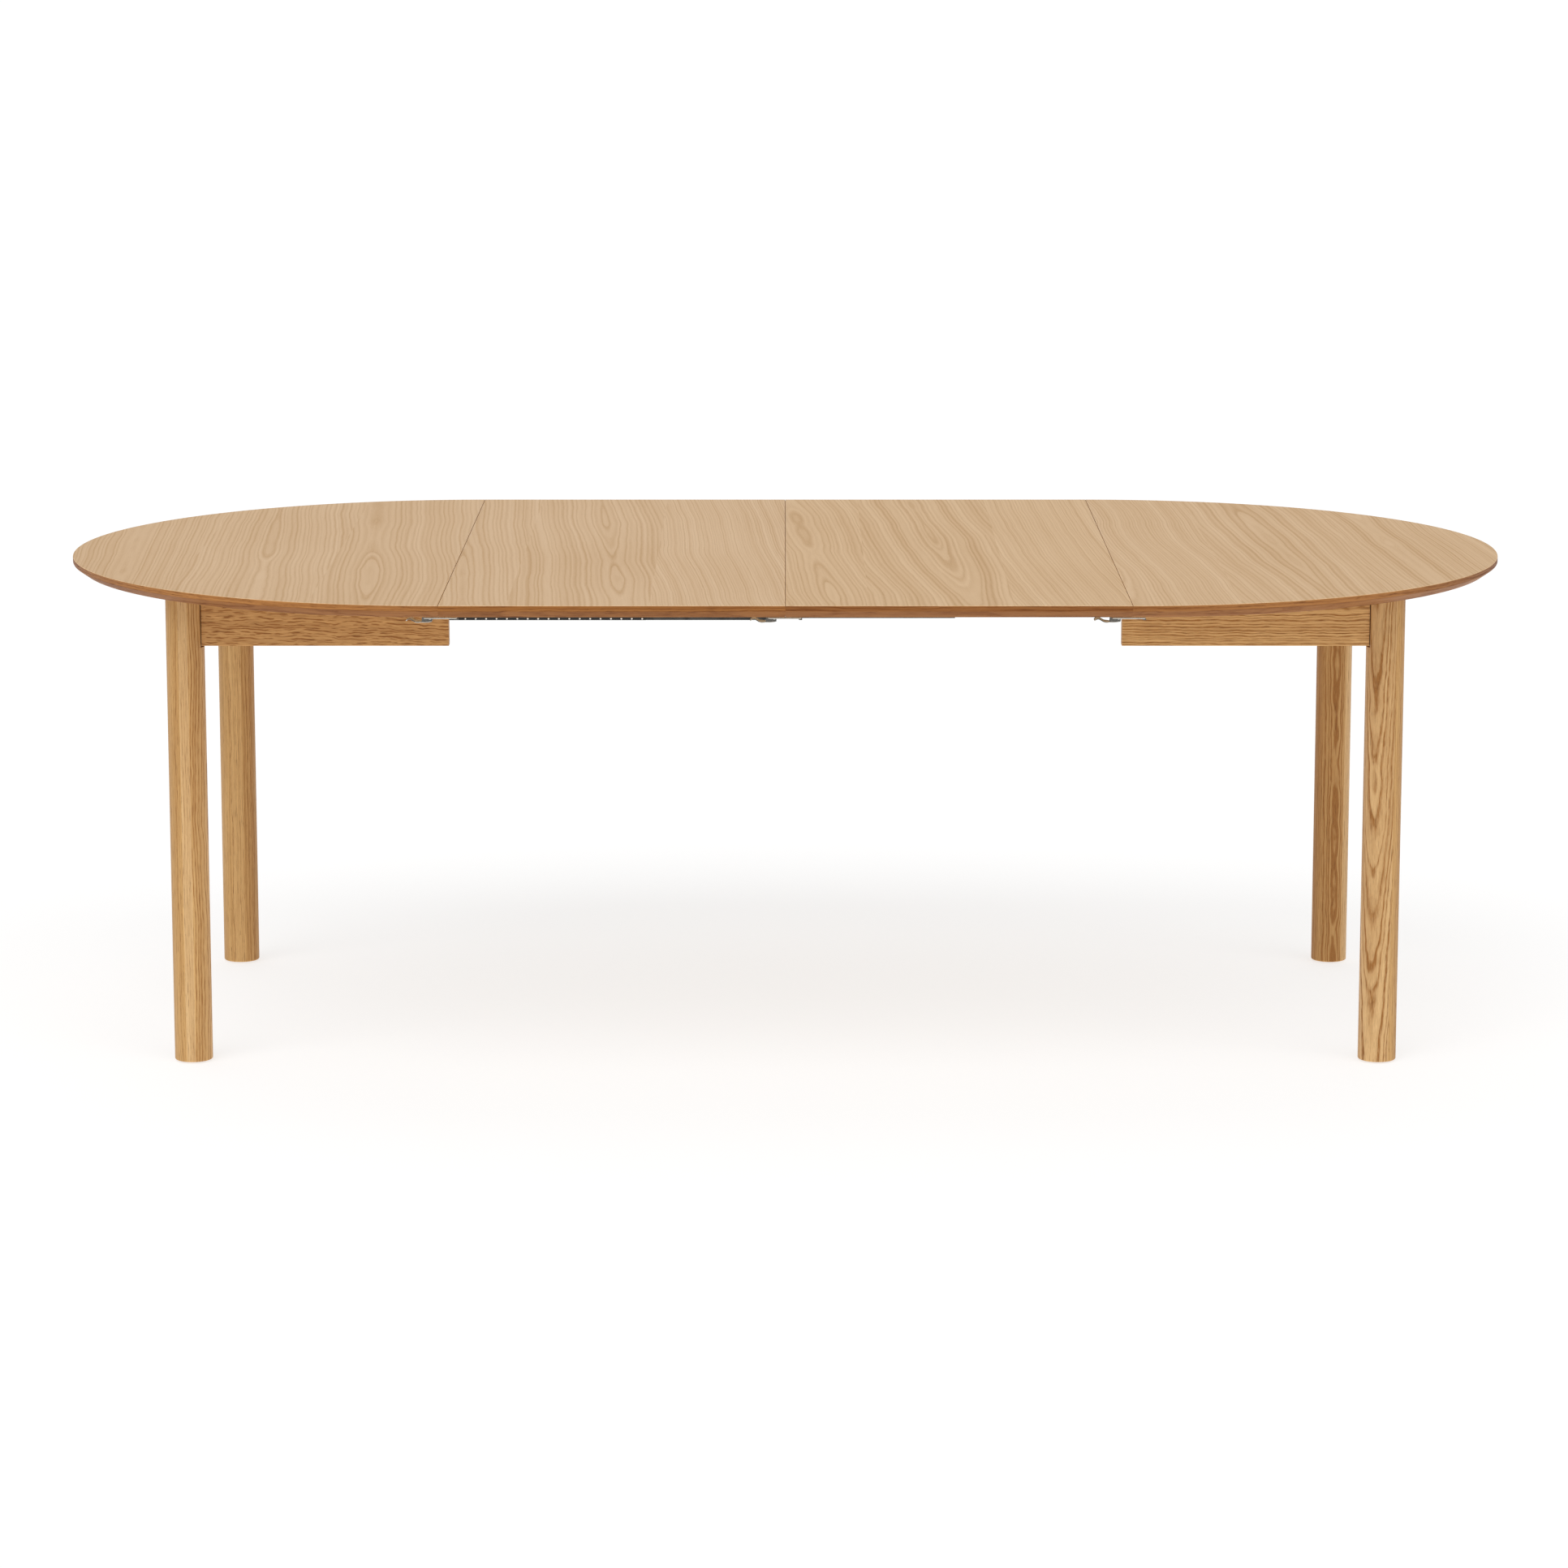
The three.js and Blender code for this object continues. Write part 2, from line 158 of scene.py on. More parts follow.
def rounded(corners, closed=True, steps=4):
    """Rounds a line of (x, y, radius) corners."""
    line = []
    count = len(corners)
    for i, (x, y, radius) in enumerate(corners):
        here = Vector((x, y))
        if radius <= 0 or (not closed and i in (0, count - 1)):
            line.append((x, y))
            continue
        before = Vector(corners[i - 1][:2]) - here
        after = Vector(corners[(i + 1) % count][:2]) - here
        before.normalize()
        after.normalize()
        half = before.angle(after) / 2
        start = here + before * (radius / math.tan(half))
        end = here + after * (radius / math.tan(half))
        middle = here + (before + after).normalized() * (radius / math.sin(half))
        first = start - middle
        last = end - middle
        sweep = first.angle_signed(last)
        for k in range(steps + 1):
            turned = Matrix.Rotation(-sweep * k / steps, 2) @ first
            line.append(tuple(middle + turned))
    return line


def round_box(x0, y0, x1, y1, radius, steps=4):
    """Outline of a rectangle with rounded corners."""
    return rounded([(x0, y0, radius), (x1, y0, radius), (x1, y1, radius), (x0, y1, radius)], steps=steps)


def drawn(outline, start, end, axis="X"):
    """Draws a plane outline out along an axis: (y, z) along X, (x, z) along Y, (x, y) along Z."""
    place = {
        "X": lambda p, t: (t, p[0], p[1]),
        "Y": lambda p, t: (p[0], t, p[1]),
        "Z": lambda p, t: (p[0], p[1], t),
    }[axis]
    return loft([[place(p, t) for p in outline] for t in (start, end)])


def sheet_outline(line, thickness):
    """Outline of sheet metal that follows a plane line of points, drawn at its middle."""
    left, right = [], []
    points = [Vector(p) for p in line]
    for i, here in enumerate(points):
        back = points[max(i - 1, 0)]
        ahead = points[min(i + 1, len(points) - 1)]
        arriving = (here - back if i else ahead - here).normalized()
        leaving = (ahead - here if i < len(points) - 1 else here - back).normalized()
        along = (arriving + leaving).normalized()
        reach = thickness / 2 / max(along.dot(arriving), 0.3)
        across = Vector((-along.y, along.x)) * reach
        left.append(tuple(here + across))
        right.append(tuple(here - across))
    return left + right[::-1]


def wire_loop(path, radius, sides):
    """A round wire along a closed, nearly level path of points."""
    points = [Vector(p) for p in path]
    rings = []
    for i, here in enumerate(points):
        along = (points[(i + 1) % len(points)] - points[i - 1]).normalized()
        across = along.cross(Vector((0, 0, 1))).normalized()
        up = across.cross(along)
        ring = []
        for k in range(sides):
            angle = 2 * math.pi * k / sides
            ring.append(tuple(here + (across * math.cos(angle) + up * math.sin(angle)) * radius))
        rings.append(ring)
    return loft(rings, closed=True)


def mesh_of(name, made):
    mesh = bpy.data.meshes.new(name)
    made.to_mesh(mesh)
    made.free()
    return mesh


def in_scene(name, data):
    thing = bpy.data.objects.new(name, data)
    bpy.context.scene.collection.objects.link(thing)
    return thing


def drilled(form, cutters):
    """The form as a bmesh, with every cutter form taken away."""
    tools = Form()
    for cutter in cutters:
        tools.join(cutter)
    body = in_scene("whole", mesh_of("whole", form.bmesh()))
    tool = in_scene("tool", mesh_of("tool", tools.bmesh()))
    cutting = body.modifiers.new("cut", "BOOLEAN")
    cutting.object = tool
    cutting.solver = "EXACT"
    cutting.operation = "DIFFERENCE"
    view = bpy.context.evaluated_depsgraph_get()
    result = bpy.data.meshes.new_from_object(body.evaluated_get(view))
    bpy.data.objects.remove(body)
    bpy.data.objects.remove(tool)
    made = bmesh.new()
    made.from_mesh(result)
    bpy.data.meshes.remove(result)
    return made


SMOOTH_ANGLE = math.radians(32)
BEVEL_ANGLE = math.radians(50)


def piece(name, form, materials, body, slot, nodes=(), bevel=0.0):
    """Makes a piece that rides on a body. form is a Form or a bmesh, in millimetres."""
    made = form.bmesh() if isinstance(form, Form) else form
    bmesh.ops.scale(made, vec=(MM, MM, MM), verts=made.verts)
    mesh = mesh_of(name, made)
    mesh.set_sharp_from_angle(angle=SMOOTH_ANGLE)
    for material in materials if isinstance(materials, list) else [materials]:
        mesh.materials.append(material)
    thing = in_scene(name, mesh)
    if bevel:
        rounding = thing.modifiers.new("rounding", "BEVEL")
        rounding.width = bevel * MM
        rounding.segments = 2
        rounding.limit_method = "ANGLE"
        rounding.angle_limit = BEVEL_ANGLE
        rounding.harden_normals = True
    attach(thing, body)
    if nodes:
        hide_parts(*nodes)
    return thing


NARROW_EDGE_WIDTH = 1.5         # only the narrow faces of a rounded edge get wear, and on the top's arris a painted highlight


def side_lengths(mesh, face):
    """The lengths of a face's sides in millimetres."""
    corners = [mesh.vertices[v].co / MM for v in face.vertices]
    return [(a - b).length for a, b in zip(corners, corners[1:] + corners[:1])]


def paint_grain(thing, boards, board_of, wear_and_highlight_of=None, figures=None):
    """Writes each corner's place in its board, what sets the board apart, and its edge wear, which on the
    top's arris is a painted highlight.

    boards holds (place, seed, tint, spacing): place turns a point in millimetres into
    (along, across, depth) from the board's pith. board_of names a face's board.
    A tint is a number or a function of the point. figures holds how strongly each board's
    rings show, 1 if it is left out."""
    mesh = thing.data
    places = np.zeros((len(mesh.loops), 3), np.float32)
    marks = np.zeros((len(mesh.loops), 3), np.float32)
    worn_and_highlit = np.zeros(len(mesh.loops), np.float32)
    shown = np.ones(len(mesh.loops), np.float32)
    for face in mesh.polygons:
        number = board_of(face.center / MM, face.normal)
        place, seed, tint, spacing = boards[number]
        rim = sum(side_lengths(mesh, face))
        narrow = 2 * face.area / MM ** 2 < NARROW_EDGE_WIDTH * rim
        for corner in face.loop_indices:
            point = mesh.vertices[mesh.loops[corner].vertex_index].co / MM
            places[corner] = [value * MM for value in place(point)]
            marks[corner] = (seed, tint(point) if callable(tint) else tint, spacing)
            worn_and_highlit[corner] = wear_and_highlight_of(point) if wear_and_highlight_of and narrow else 0.0
            shown[corner] = figures[number] if figures else 1.0
    rows = (("grain", places), ("board", marks), ("wear_and_highlight", worn_and_highlit), ("figure", shown))
    for name, values in rows:
        kind, field = ("FLOAT_VECTOR", "vector") if values.ndim == 2 else ("FLOAT", "value")
        mesh.attributes.new(name, kind, "CORNER").data.foreach_set(field, values.ravel())


# ---------- materials ----------


class Nodes:
    """Short names for the shader nodes that the materials use."""

    def __init__(self, name):
        self.material = bpy.data.materials.new(name)
        self.material.use_nodes = True
        self.tree = self.material.node_tree
        self.tree.nodes.clear()
        self.shader = self.new("BsdfPrincipled")
        self.put(self.new("OutputMaterial").inputs["Surface"], self.shader.outputs["BSDF"])

    def new(self, kind):
        return self.tree.nodes.new("ShaderNode" + kind)

    def put(self, socket, value):
        if isinstance(value, bpy.types.NodeSocket):
            self.tree.links.new(value, socket)
        elif value is not None:
            socket.default_value = value

    def math(self, operation, a, b=None, c=None, clamp=False):
        node = self.new("Math")
        node.operation = operation
        node.use_clamp = clamp
        for socket, value in zip(node.inputs, (a, b, c)):
            self.put(socket, value)
        return node.outputs[0]

    def add(self, a, b, clamp=False):
        return self.math("ADD", a, b, clamp=clamp)

    def times(self, a, b):
        return self.math("MULTIPLY", a, b)

    def line(self, value, slope, start):
        """slope * value + start"""
        return self.math("MULTIPLY_ADD", value, slope, start)

    def attribute(self, name, output):
        node = self.new("Attribute")
        node.attribute_name = name
        return node.outputs[output]

    def split(self, vector):
        node = self.new("SeparateXYZ")
        self.put(node.inputs[0], vector)
        return node.outputs

    def scaled(self, vector, scale, offset=None):
        node = self.new("VectorMath")
        node.operation = "MULTIPLY_ADD"
        self.put(node.inputs[0], vector)
        node.inputs[1].default_value = scale
        self.put(node.inputs[2], offset)
        return node.outputs[0]

    def noise(self, vector, detail, roughness=0.5):
        node = self.new("TexNoise")
        self.put(node.inputs["Vector"], vector)
        node.inputs["Scale"].default_value = 1.0
        node.inputs["Detail"].default_value = detail
        node.inputs["Roughness"].default_value = roughness
        return node.outputs["Fac"]

    def noise_along(self, value, scale, detail):
        """Noise of one number."""
        node = self.new("TexNoise")
        node.noise_dimensions = "1D"
        node.inputs["Scale"].default_value = scale
        node.inputs["Detail"].default_value = detail
        self.put(node.inputs["W"], value)
        return node.outputs["Fac"]

    def swing(self, noise, amount):
        """Noise turned into about plus or minus amount."""
        return self.line(noise, 2 * amount, -amount)

    def remap(self, value, low, high, to_low=0.0, to_high=1.0, smooth=True):
        node = self.new("MapRange")
        node.interpolation_type = "SMOOTHSTEP" if smooth else "LINEAR"
        for name, number in (("Value", value), ("From Min", low), ("From Max", high),
                             ("To Min", to_low), ("To Max", to_high)):
            self.put(node.inputs[name], number)
        return node.outputs["Result"]

    def random(self, value):
        node = self.new("TexWhiteNoise")
        node.noise_dimensions = "1D"
        self.put(node.inputs["W"], value)
        return node.outputs["Value"]

    def mix(self, factor, a, b):
        node = self.new("Mix")
        node.data_type = "RGBA"
        for name, value in (("Factor", factor), ("A", a), ("B", b)):
            self.put(node.inputs[name], value)
        return node.outputs["Result"]

    def ramp(self, value, stops):
        node = self.new("ValToRGB")
        self.put(node.inputs["Fac"], value)
        elements = node.color_ramp.elements
        while len(elements) < len(stops):
            elements.new(0.5)
        for element, (position, level) in zip(elements, stops):
            element.position = position
            element.color = (level, level, level, 1)
        return node.outputs["Color"]

    def bump(self, height, strength, distance):
        node = self.new("Bump")
        node.inputs["Strength"].default_value = strength
        node.inputs["Distance"].default_value = distance
        self.put(node.inputs["Height"], height)
        self.put(self.shader.inputs["Normal"], node.outputs["Normal"])

    def set(self, **values):
        for name, value in values.items():
            self.put(self.shader.inputs[name.replace("_", " ").title()], value)


# How the growth of each kind of oak shows. Lengths are metres, a scale is how often a pattern
# repeats in a metre (along, across, deep), and the rest are shares.
VENEER_GROWTH = dict(
    spacing=0.0066, slow=0.034, slow_scale=(1.05, 1.5, 1.5), waves=0.0052, waves_scale=(4.6, 5.0, 5.0),
    ripple=0.0009, ripple_scale=(13, 30, 30), ring_contrast=0.58, fibre=0.10, patches=0.12, pores=0.26,
    dashes=0.10, groups=0.35, streaks=0.12, weakest=0.35, broken=0.0, paleness=0.2,
    ring=[(0.0, 0.50), (0.12, 1.0), (0.34, 0.50), (0.58, 0.04), (0.82, 0.12), (1.0, 0.50)],
)
SOLID_GROWTH = dict(
    spacing=0.0040, slow=0.012, slow_scale=(2.4, 5.0, 5.0), waves=0.0030, waves_scale=(11.0, 16.0, 16.0),
    ripple=0.0013, ripple_scale=(34, 62, 62), ring_contrast=1.15, fibre=0.30, patches=0.16, pores=0.60,
    dashes=0.62, groups=0.24, streaks=0.14, weakest=0.45, broken=0.35, paleness=0.8,
    ring=[(0.0, 0.30), (0.10, 0.95), (0.26, 0.70), (0.46, 0.12), (0.80, 0.04), (1.0, 0.30)],
)
RAIL_GROWTH = dict(
    SOLID_GROWTH, spacing=0.0034, slow=0.006, waves=0.0022, ripple=0.0018, ripple_scale=(38, 46, 46),
    ring_contrast=1.20, fibre=0.34, dashes=0.75, weakest=0.6, broken=0.40,
)
FLECKED_GROWTH = dict(RAIL_GROWTH, ripple=0.0026, ripple_scale=(52, 60, 60), broken=0.95, dashes=0.90)

PATTERNS = {
    "fleck": (58, 330, 330), "fibre": (9, 620, 620), "fine_fibre": (40, 1900, 1900),
    "streak": (3.5, 230, 230), "patch": (2.2, 5.5, 5.5), "pore": (150, 2300, 2300),
    "dash": (46, 640, 640), "knot": (3.4, 5.2, 5.2), "rub": (22, 60, 60),
}
SEED_SHIFT = (7.31, 3.17, 5.93)     # how far one step of the seed moves a board in the patterns
BASE_SHADE = 0.28
GRAIN_DEPTH = 0.00012


def oak(name, light, dark, growth, rough=(0.40, 0.56), gloss=0.38):
    """Oak from its growth rings round the board's pith, with pores, ray dashes and fibres.

    A board whose seed has a larger fraction is paler and less yellow."""
    n = Nodes(name)
    grain = n.attribute("grain", "Vector")
    seed, tint, stretch = n.split(n.attribute("board", "Vector"))
    shift = n.new("CombineXYZ")
    for socket, factor in zip(shift.inputs, SEED_SHIFT):
        n.put(socket, n.times(seed, factor))
    place = n.scaled(grain, (1, 1, 1), shift.outputs[0])
    _, across, depth = n.split(grain)

    def cloud(kind, detail=2.0, roughness=0.5):
        scale = PATTERNS[kind] if kind in PATTERNS else growth[kind + "_scale"]
        return n.noise(n.scaled(place, scale), detail, roughness)

    # distance from the pith, warped by the tree's shape
    radius = n.math("SQRT", n.add(n.times(across, across), n.times(depth, depth)))
    for warp, detail, roughness in (("slow", 1.0, 0.5), ("waves", 1.5, 0.45), ("ripple", 1.0, 0.5)):
        radius = n.add(radius, n.swing(cloud(warp, detail, roughness), growth[warp]))
    years = n.math("DIVIDE", radius, n.times(stretch, growth["spacing"]))
    uneven = n.noise_along(n.add(years, n.times(seed, 13.7)), 0.55, 1.0)
    years = n.add(years, n.times(uneven, 1.3))
    strength = n.remap(n.random(n.math("FLOOR", years)), 0, 1, growth["weakest"], 1.0, smooth=False)
    rings = n.times(n.ramp(n.math("FRACT", years), growth["ring"]), strength)
    rings = n.times(rings, n.remap(cloud("fleck", 1.0), 0.40, 0.58, 1 - growth["broken"], 1.0))
    groups = n.noise_along(n.add(years, n.times(seed, 5.3)), 0.31, 2.0)

    # pores and ray dashes gather on the rings
    pore = n.times(n.remap(cloud("pore", 1.0), 0.57, 0.68), n.line(rings, 0.85, 0.15))
    dash = n.times(n.remap(cloud("dash", 1.0), 0.56, 0.66), n.line(rings, 0.75, 0.25))

    # a pin knot in a few of the pattern's cells
    cells = n.new("TexVoronoi")
    cells.inputs["Scale"].default_value = 1.0
    n.put(cells.inputs["Vector"], n.scaled(place, PATTERNS["knot"]))
    chosen = n.remap(n.split(cells.outputs["Color"])[0], 0.80, 0.81)
    knot = n.times(n.remap(cells.outputs["Distance"], 0.006, 0.016, 1.0, 0.0), chosen)

    shade = n.times(n.times(rings, n.attribute("figure", "Fac")), growth["ring_contrast"])
    fine_fibre = cloud("fine_fibre")
    clouds = (
        (cloud("fibre"), growth["fibre"]),
        (fine_fibre, growth["fibre"] * 0.6),
        (cloud("streak", 1.0), growth["streaks"]),
        (cloud("patch", 0.0), growth["patches"]),
        (groups, growth["groups"]),
    )
    for noise, amount in clouds:
        shade = n.add(shade, n.swing(noise, amount))
    shade = n.add(shade, n.add(tint, BASE_SHADE), clamp=True)
    pale = (light[0] * 0.97, light[1] * 1.04, light[2] * 1.35, 1)
    colour = n.mix(n.times(n.math("FRACT", seed), growth["paleness"]),
                   n.mix(shade, light, dark), n.mix(shade, pale, dark))
    marks = n.add(n.times(pore, growth["pores"]), n.times(dash, growth["dashes"]), clamp=True)
    marks = n.math("MAXIMUM", marks, n.times(knot, 0.9))
    brown = (dark[0] * 0.50, dark[1] * 0.42, dark[2] * 0.36, 1)
    colour = n.mix(marks, colour, brown)
    # wear, and on the top's arris a painted highlight: narrow faces of rounded edges turn paler and less
    # rough
    rubbed_and_highlit = n.times(n.attribute("wear_and_highlight", "Fac"), n.remap(cloud("rub"), 0.35, 0.75, 0.1, 0.5))
    paler = tuple(min(value * 1.22, 1.0) for value in light[:3]) + (1,)
    colour = n.mix(rubbed_and_highlit, colour, paler)

    roughness = n.line(shade, rough[1] - rough[0], rough[0])
    roughness = n.add(roughness, n.times(marks, 0.18))
    roughness = n.math("SUBTRACT", roughness, n.times(rubbed_and_highlit, 0.12))
    height = n.line(marks, -1.0, n.times(rings, -0.35))
    height = n.add(height, n.times(fine_fibre, 0.25))
    n.set(base_color=colour, roughness=roughness)
    n.shader.inputs["Specular IOR Level"].default_value = gloss
    n.bump(height, 0.35, GRAIN_DEPTH)
    return n.material


VENEER = oak("oak_veneer", (0.76, 0.515, 0.282, 1), (0.53, 0.315, 0.136, 1), VENEER_GROWTH)
BACKING = oak("oak_backing", (0.62, 0.42, 0.22, 1), (0.44, 0.26, 0.11, 1), VENEER_GROWTH, (0.5, 0.62))
SOLID = oak("oak_solid", (0.80, 0.495, 0.190, 1), (0.36, 0.152, 0.034, 1), SOLID_GROWTH, gloss=0.30)
RAIL_OAK = oak("oak_rail", (0.86, 0.500, 0.170, 1), (0.36, 0.146, 0.031, 1), RAIL_GROWTH, gloss=0.28)
FLECKED_OAK = oak("oak_flecked", (0.78, 0.430, 0.144, 1), (0.33, 0.126, 0.026, 1), FLECKED_GROWTH,
                  gloss=0.28)
LIPPING = oak("oak_lipping", (0.50, 0.212, 0.055, 1), (0.185, 0.055, 0.010, 1), SOLID_GROWTH, gloss=0.14)


# ---------- tabletops and leaves ----------

EDGE_BEVEL = 15          # how far the underside is cut back
EDGE_LOWER_Z = HEIGHT - 8.3
BEVEL_HIGH = EDGE_LOWER_Z - UNDERSIDE
ARC_STEPS = 144
SEAM_EASE = 0.45         # how far a seam's upper and lower edges are taken back
SEAM_EASE_HEIGHT = 2.5
SEAM_LIP = 0.19          # the seam's face swells this much between its eased edges
FLAT_MARGIN = 3          # the flat faces' rims lie this much further from the seam
DOWEL_RADIUS = 4
DOWEL_PROUD = 12
DOWEL_HOLE = 0.3         # how much wider a dowel's hole is
DOWEL_Y = (-90, 90, -270, 270, -450, 450)
DOWEL_Z = (HEIGHT + UNDERSIDE) / 2

# the edge's section as (cut back from the outline, height); its ends lie on the flat faces
EDGE_SECTION = rounded(
    [
        (EDGE_BEVEL + 6, UNDERSIDE, 0),
        (EDGE_BEVEL, UNDERSIDE, 1.2),
        (EDGE_BEVEL * (1 - 3 / BEVEL_HIGH), UNDERSIDE + 3, 0),
        (0, EDGE_LOWER_Z, 1.6),
        (0, HEIGHT - 3, 0),
        (0, HEIGHT, 1.0),
        (5, HEIGHT, 0),
    ],
    closed=False,
    steps=4,
)


def seam_cut(z):
    """How far the seam's face is eased back at a height."""
    near = min(HEIGHT - z, z - UNDERSIDE)
    return max(0.0, SEAM_EASE - near) if near < SEAM_EASE_HEIGHT else -SEAM_LIP


def levels():
    """The edge's section as (cut back from the outline, cut back from the seam, height)."""
    for i, (cut_back, z) in enumerate(EDGE_SECTION):
        margin = FLAT_MARGIN if i in (0, len(EDGE_SECTION) - 1) else 0
        yield cut_back, seam_cut(z) + margin, z


def half_round(side):
    """One half-round tabletop, its seam towards the middle of the table."""
    centre = side * LEAF_LENGTH
    rings = []
    for cut_back, seam, z in levels():
        radius = END_RADIUS - cut_back
        start = math.asin((SEAM_GAP / 2 + seam) / radius)
        ring = []
        for i in range(ARC_STEPS + 1):
            angle = start + (math.pi - 2 * start) * i / ARC_STEPS
            ring.append((centre + side * radius * math.sin(angle), -radius * math.cos(angle), z))
        rings.append(ring)
    return loft(rings)


def leaf_form(low, high):
    rings = []
    for cut_back, seam, z in levels():
        x0, x1 = low + seam, high - seam
        y = END_RADIUS - cut_back
        rings.append([(x0, -y, z), (x1, -y, z), (x1, y, z), (x0, y, z)])
    return loft(rings)


def dowel_holes(seam):
    """Cutters for the holes on the +X side of a seam."""
    radius = DOWEL_RADIUS + DOWEL_HOLE
    ends = [(radius, seam - 3), (radius, seam + DOWEL_PROUD + 3)]
    return [lathe(ends, 24, "X", (0, y, DOWEL_Z)) for y in DOWEL_Y]


# Veneer sheets of each top as (right edge, pith across and below the sheet, tilt, tint, spacing).
# Lengths are millimetres; tilt is how fast the sheet leaves the pith along its length.
SHEETS = {
    "tabletop_left": [
        (-905, -1010, 22, 0.015, 0.03, 0.9),
        (-690, -800, 12, -0.02, -0.03, 1.0),
        (-500, -640, 18, 0.01, 0.02, 1.15),
    ],
    "leaf_left": [
        (-402, -500, 14, 0.02, -0.02, 1.05),
        (-196, -270, 9, -0.01, 0.02, 1.2),
        (0, -330, 20, 0.02, -0.04, 0.62),
    ],
    "leaf_right": [
        (120, 40, 16, 0.02, 0.0, 0.95),
        (330, 240, 8, -0.02, 0.03, 1.15),
        (500, 560, 20, 0.01, -0.04, 0.8),
    ],
    "tabletop_right": [
        (660, 470, 30, -0.02, -0.02, 0.7),
        (880, 770, 9, 0.02, 0.02, 1.2),
        (1100, 950, 18, -0.01, 0.0, 0.85),
    ],
}
FLAT_NORMAL = 0.999      # faces whose normal is this steep lie in the top's two flat planes
UPPER_NORMAL = 0.55      # faces steeper than this belong to the upper veneer
LOWER_NORMAL = -0.95     # and faces below this to the backing
BAND_TINT = {-1: 0.24, 1: 0.46}     # the lipping's band on the left and on the right
BEVEL_TINT = 0.24
BAND_PAINTED_LIGHT = 0.46         # how much paler the painted light makes the band on the half rounds
BAND_PAINTED_LIGHT_X = (420, 700, 890, 1090)      # where the painted light starts, is full, fades and ends, from the middle
SIDEWAYS_NORMAL = 0.6    # faces near a seam that look along X more than this are the seam's
BEVEL_NORMAL = -0.2      # faces that look down more than this are the bevel
SEAM_REACH = 20
EDGE_FIGURES = [0.45, 0.35, 0.6]    # how strongly rings show on the band, the bevel and the seams


def sheet_place(pith_x, pith_below, tilt):
    return lambda p: (p.y, p.x - pith_x + 0.06 * p.y, pith_below + tilt * p.y + 0.05 * (p.x - pith_x))


def lipping_place(name):
    """Along the edge: the arc's length on the half rounds, X or Y on straight edges."""
    side = {"tabletop_left": -1, "tabletop_right": 1}.get(name)

    def place(p):
        if side is None:
            return (p.x, p.z - HEIGHT + 44, END_RADIUS - abs(p.y) + 18)
        x = p.x - side * LEAF_LENGTH
        radius = math.hypot(x, p.y)
        return (END_RADIUS * math.atan2(p.y, side * x), p.z - HEIGHT + 44, END_RADIUS - radius + 18)

    return place


def seam_place(p):
    return (p.y, p.z - HEIGHT + 40, 22 + (p.x % 7) * 0.01)


def wear_and_highlight_from(reach, depth_of):
    """Wear that is full at an edge and gone at the reach from it; on the top's arris it is a painted
    highlight.
    """
    return lambda p: max(0.0, 1 - depth_of(p) / reach)


def band_tint_and_painted_light(point):
    """The upright band of the lipping is darker on the right, and paler where it curves away: painted
    light on the curved ends of the half rounds.
    """
    x = abs(point.x)
    start, full, fading, end = BAND_PAINTED_LIGHT_X
    share = min(max((x - start) / (full - start), 0), 1) * min(max((end - x) / (end - fading), 0), 1)
    return BAND_TINT[-1 if point.x < 0 else 1] - BAND_PAINTED_LIGHT * share


def make_top(name, form, body, holes=()):
    """A panel in its sheets of veneer, with its lipping. holes are cutters."""
    sheets = SHEETS[name]
    made = drilled(form, holes) if holes else form.bmesh()
    for right_edge, *_ in sheets[:-1]:
        flat = [f for f in made.faces if abs(f.normal.z) > FLAT_NORMAL]
        parts = flat + [e for f in flat for e in f.edges] + [v for f in flat for v in f.verts]
        bmesh.ops.bisect_plane(
            made, geom=list(dict.fromkeys(parts)), plane_co=(right_edge, 0, 0), plane_no=(1, 0, 0)
        )
    thing = piece(name + "_panel", made, [VENEER, BACKING, LIPPING], body, "oak_veneer", [name])
    first_edge = sheets[0][0]
    edge_seed = 3.3 + first_edge * 0.013
    boards = [
        (sheet_place(pith_x, pith_below, tilt), 1 + i + len(name) * 0.37 + first_edge * 0.011, tint,
         spacing)
        for i, (_, pith_x, pith_below, tilt, tint, spacing) in enumerate(sheets)
    ]
    boards += [
        (lipping_place(name), edge_seed, band_tint_and_painted_light, 1.1),
        (lipping_place(name), edge_seed, BEVEL_TINT, 1.1),
        (seam_place, 6.1 + first_edge * 0.017, 0.1, 1.0),
    ]
    band, bevel, seam_face = range(len(sheets), len(boards))

    def board_of(centre, normal):
        if normal.z > UPPER_NORMAL or normal.z < LOWER_NORMAL:
            return sum(centre.x >= sheet[0] for sheet in sheets[:-1])
        from_seam = min(abs(centre.x - seam) for seam in SEAMS.values())
        if abs(normal.x) > SIDEWAYS_NORMAL and from_seam < SEAM_REACH:
            return seam_face
        return bevel if normal.z < BEVEL_NORMAL else band

    # a painted highlight along the top's rounded upper arris
    arris_highlight = wear_and_highlight_from(1.2, lambda p: HEIGHT - p.z)
    paint_grain(thing, boards, board_of, arris_highlight, [1.0] * len(sheets) + EDGE_FIGURES)
    for face in thing.data.polygons:
        upper, lower = face.normal.z > UPPER_NORMAL, face.normal.z < LOWER_NORMAL
        face.material_index = 0 if upper else 1 if lower else 2


make_top("tabletop_left", half_round(-1), "left_half")
make_top("leaf_left", leaf_form(LEAF_LOW.x, LEAF_HIGH.x), "leaf_left", dowel_holes(-LEAF_LENGTH))
make_top("leaf_right", leaf_form(-LEAF_HIGH.x, -LEAF_LOW.x), "leaf_right", dowel_holes(0))
make_top("tabletop_right", half_round(1), "right_half", dowel_holes(LEAF_LENGTH))


# ---------- legs and rails ----------

LEG_FLAT = 24
LEG_SHOULDER_Z = RAIL_LOW.z - 2
FOOT_ROUND = 2.2
LEG_STEPS = 96
PITH_FOOT_Z = 360        # where a stave's pith starts to lean
PITH_BEND = 0.000035
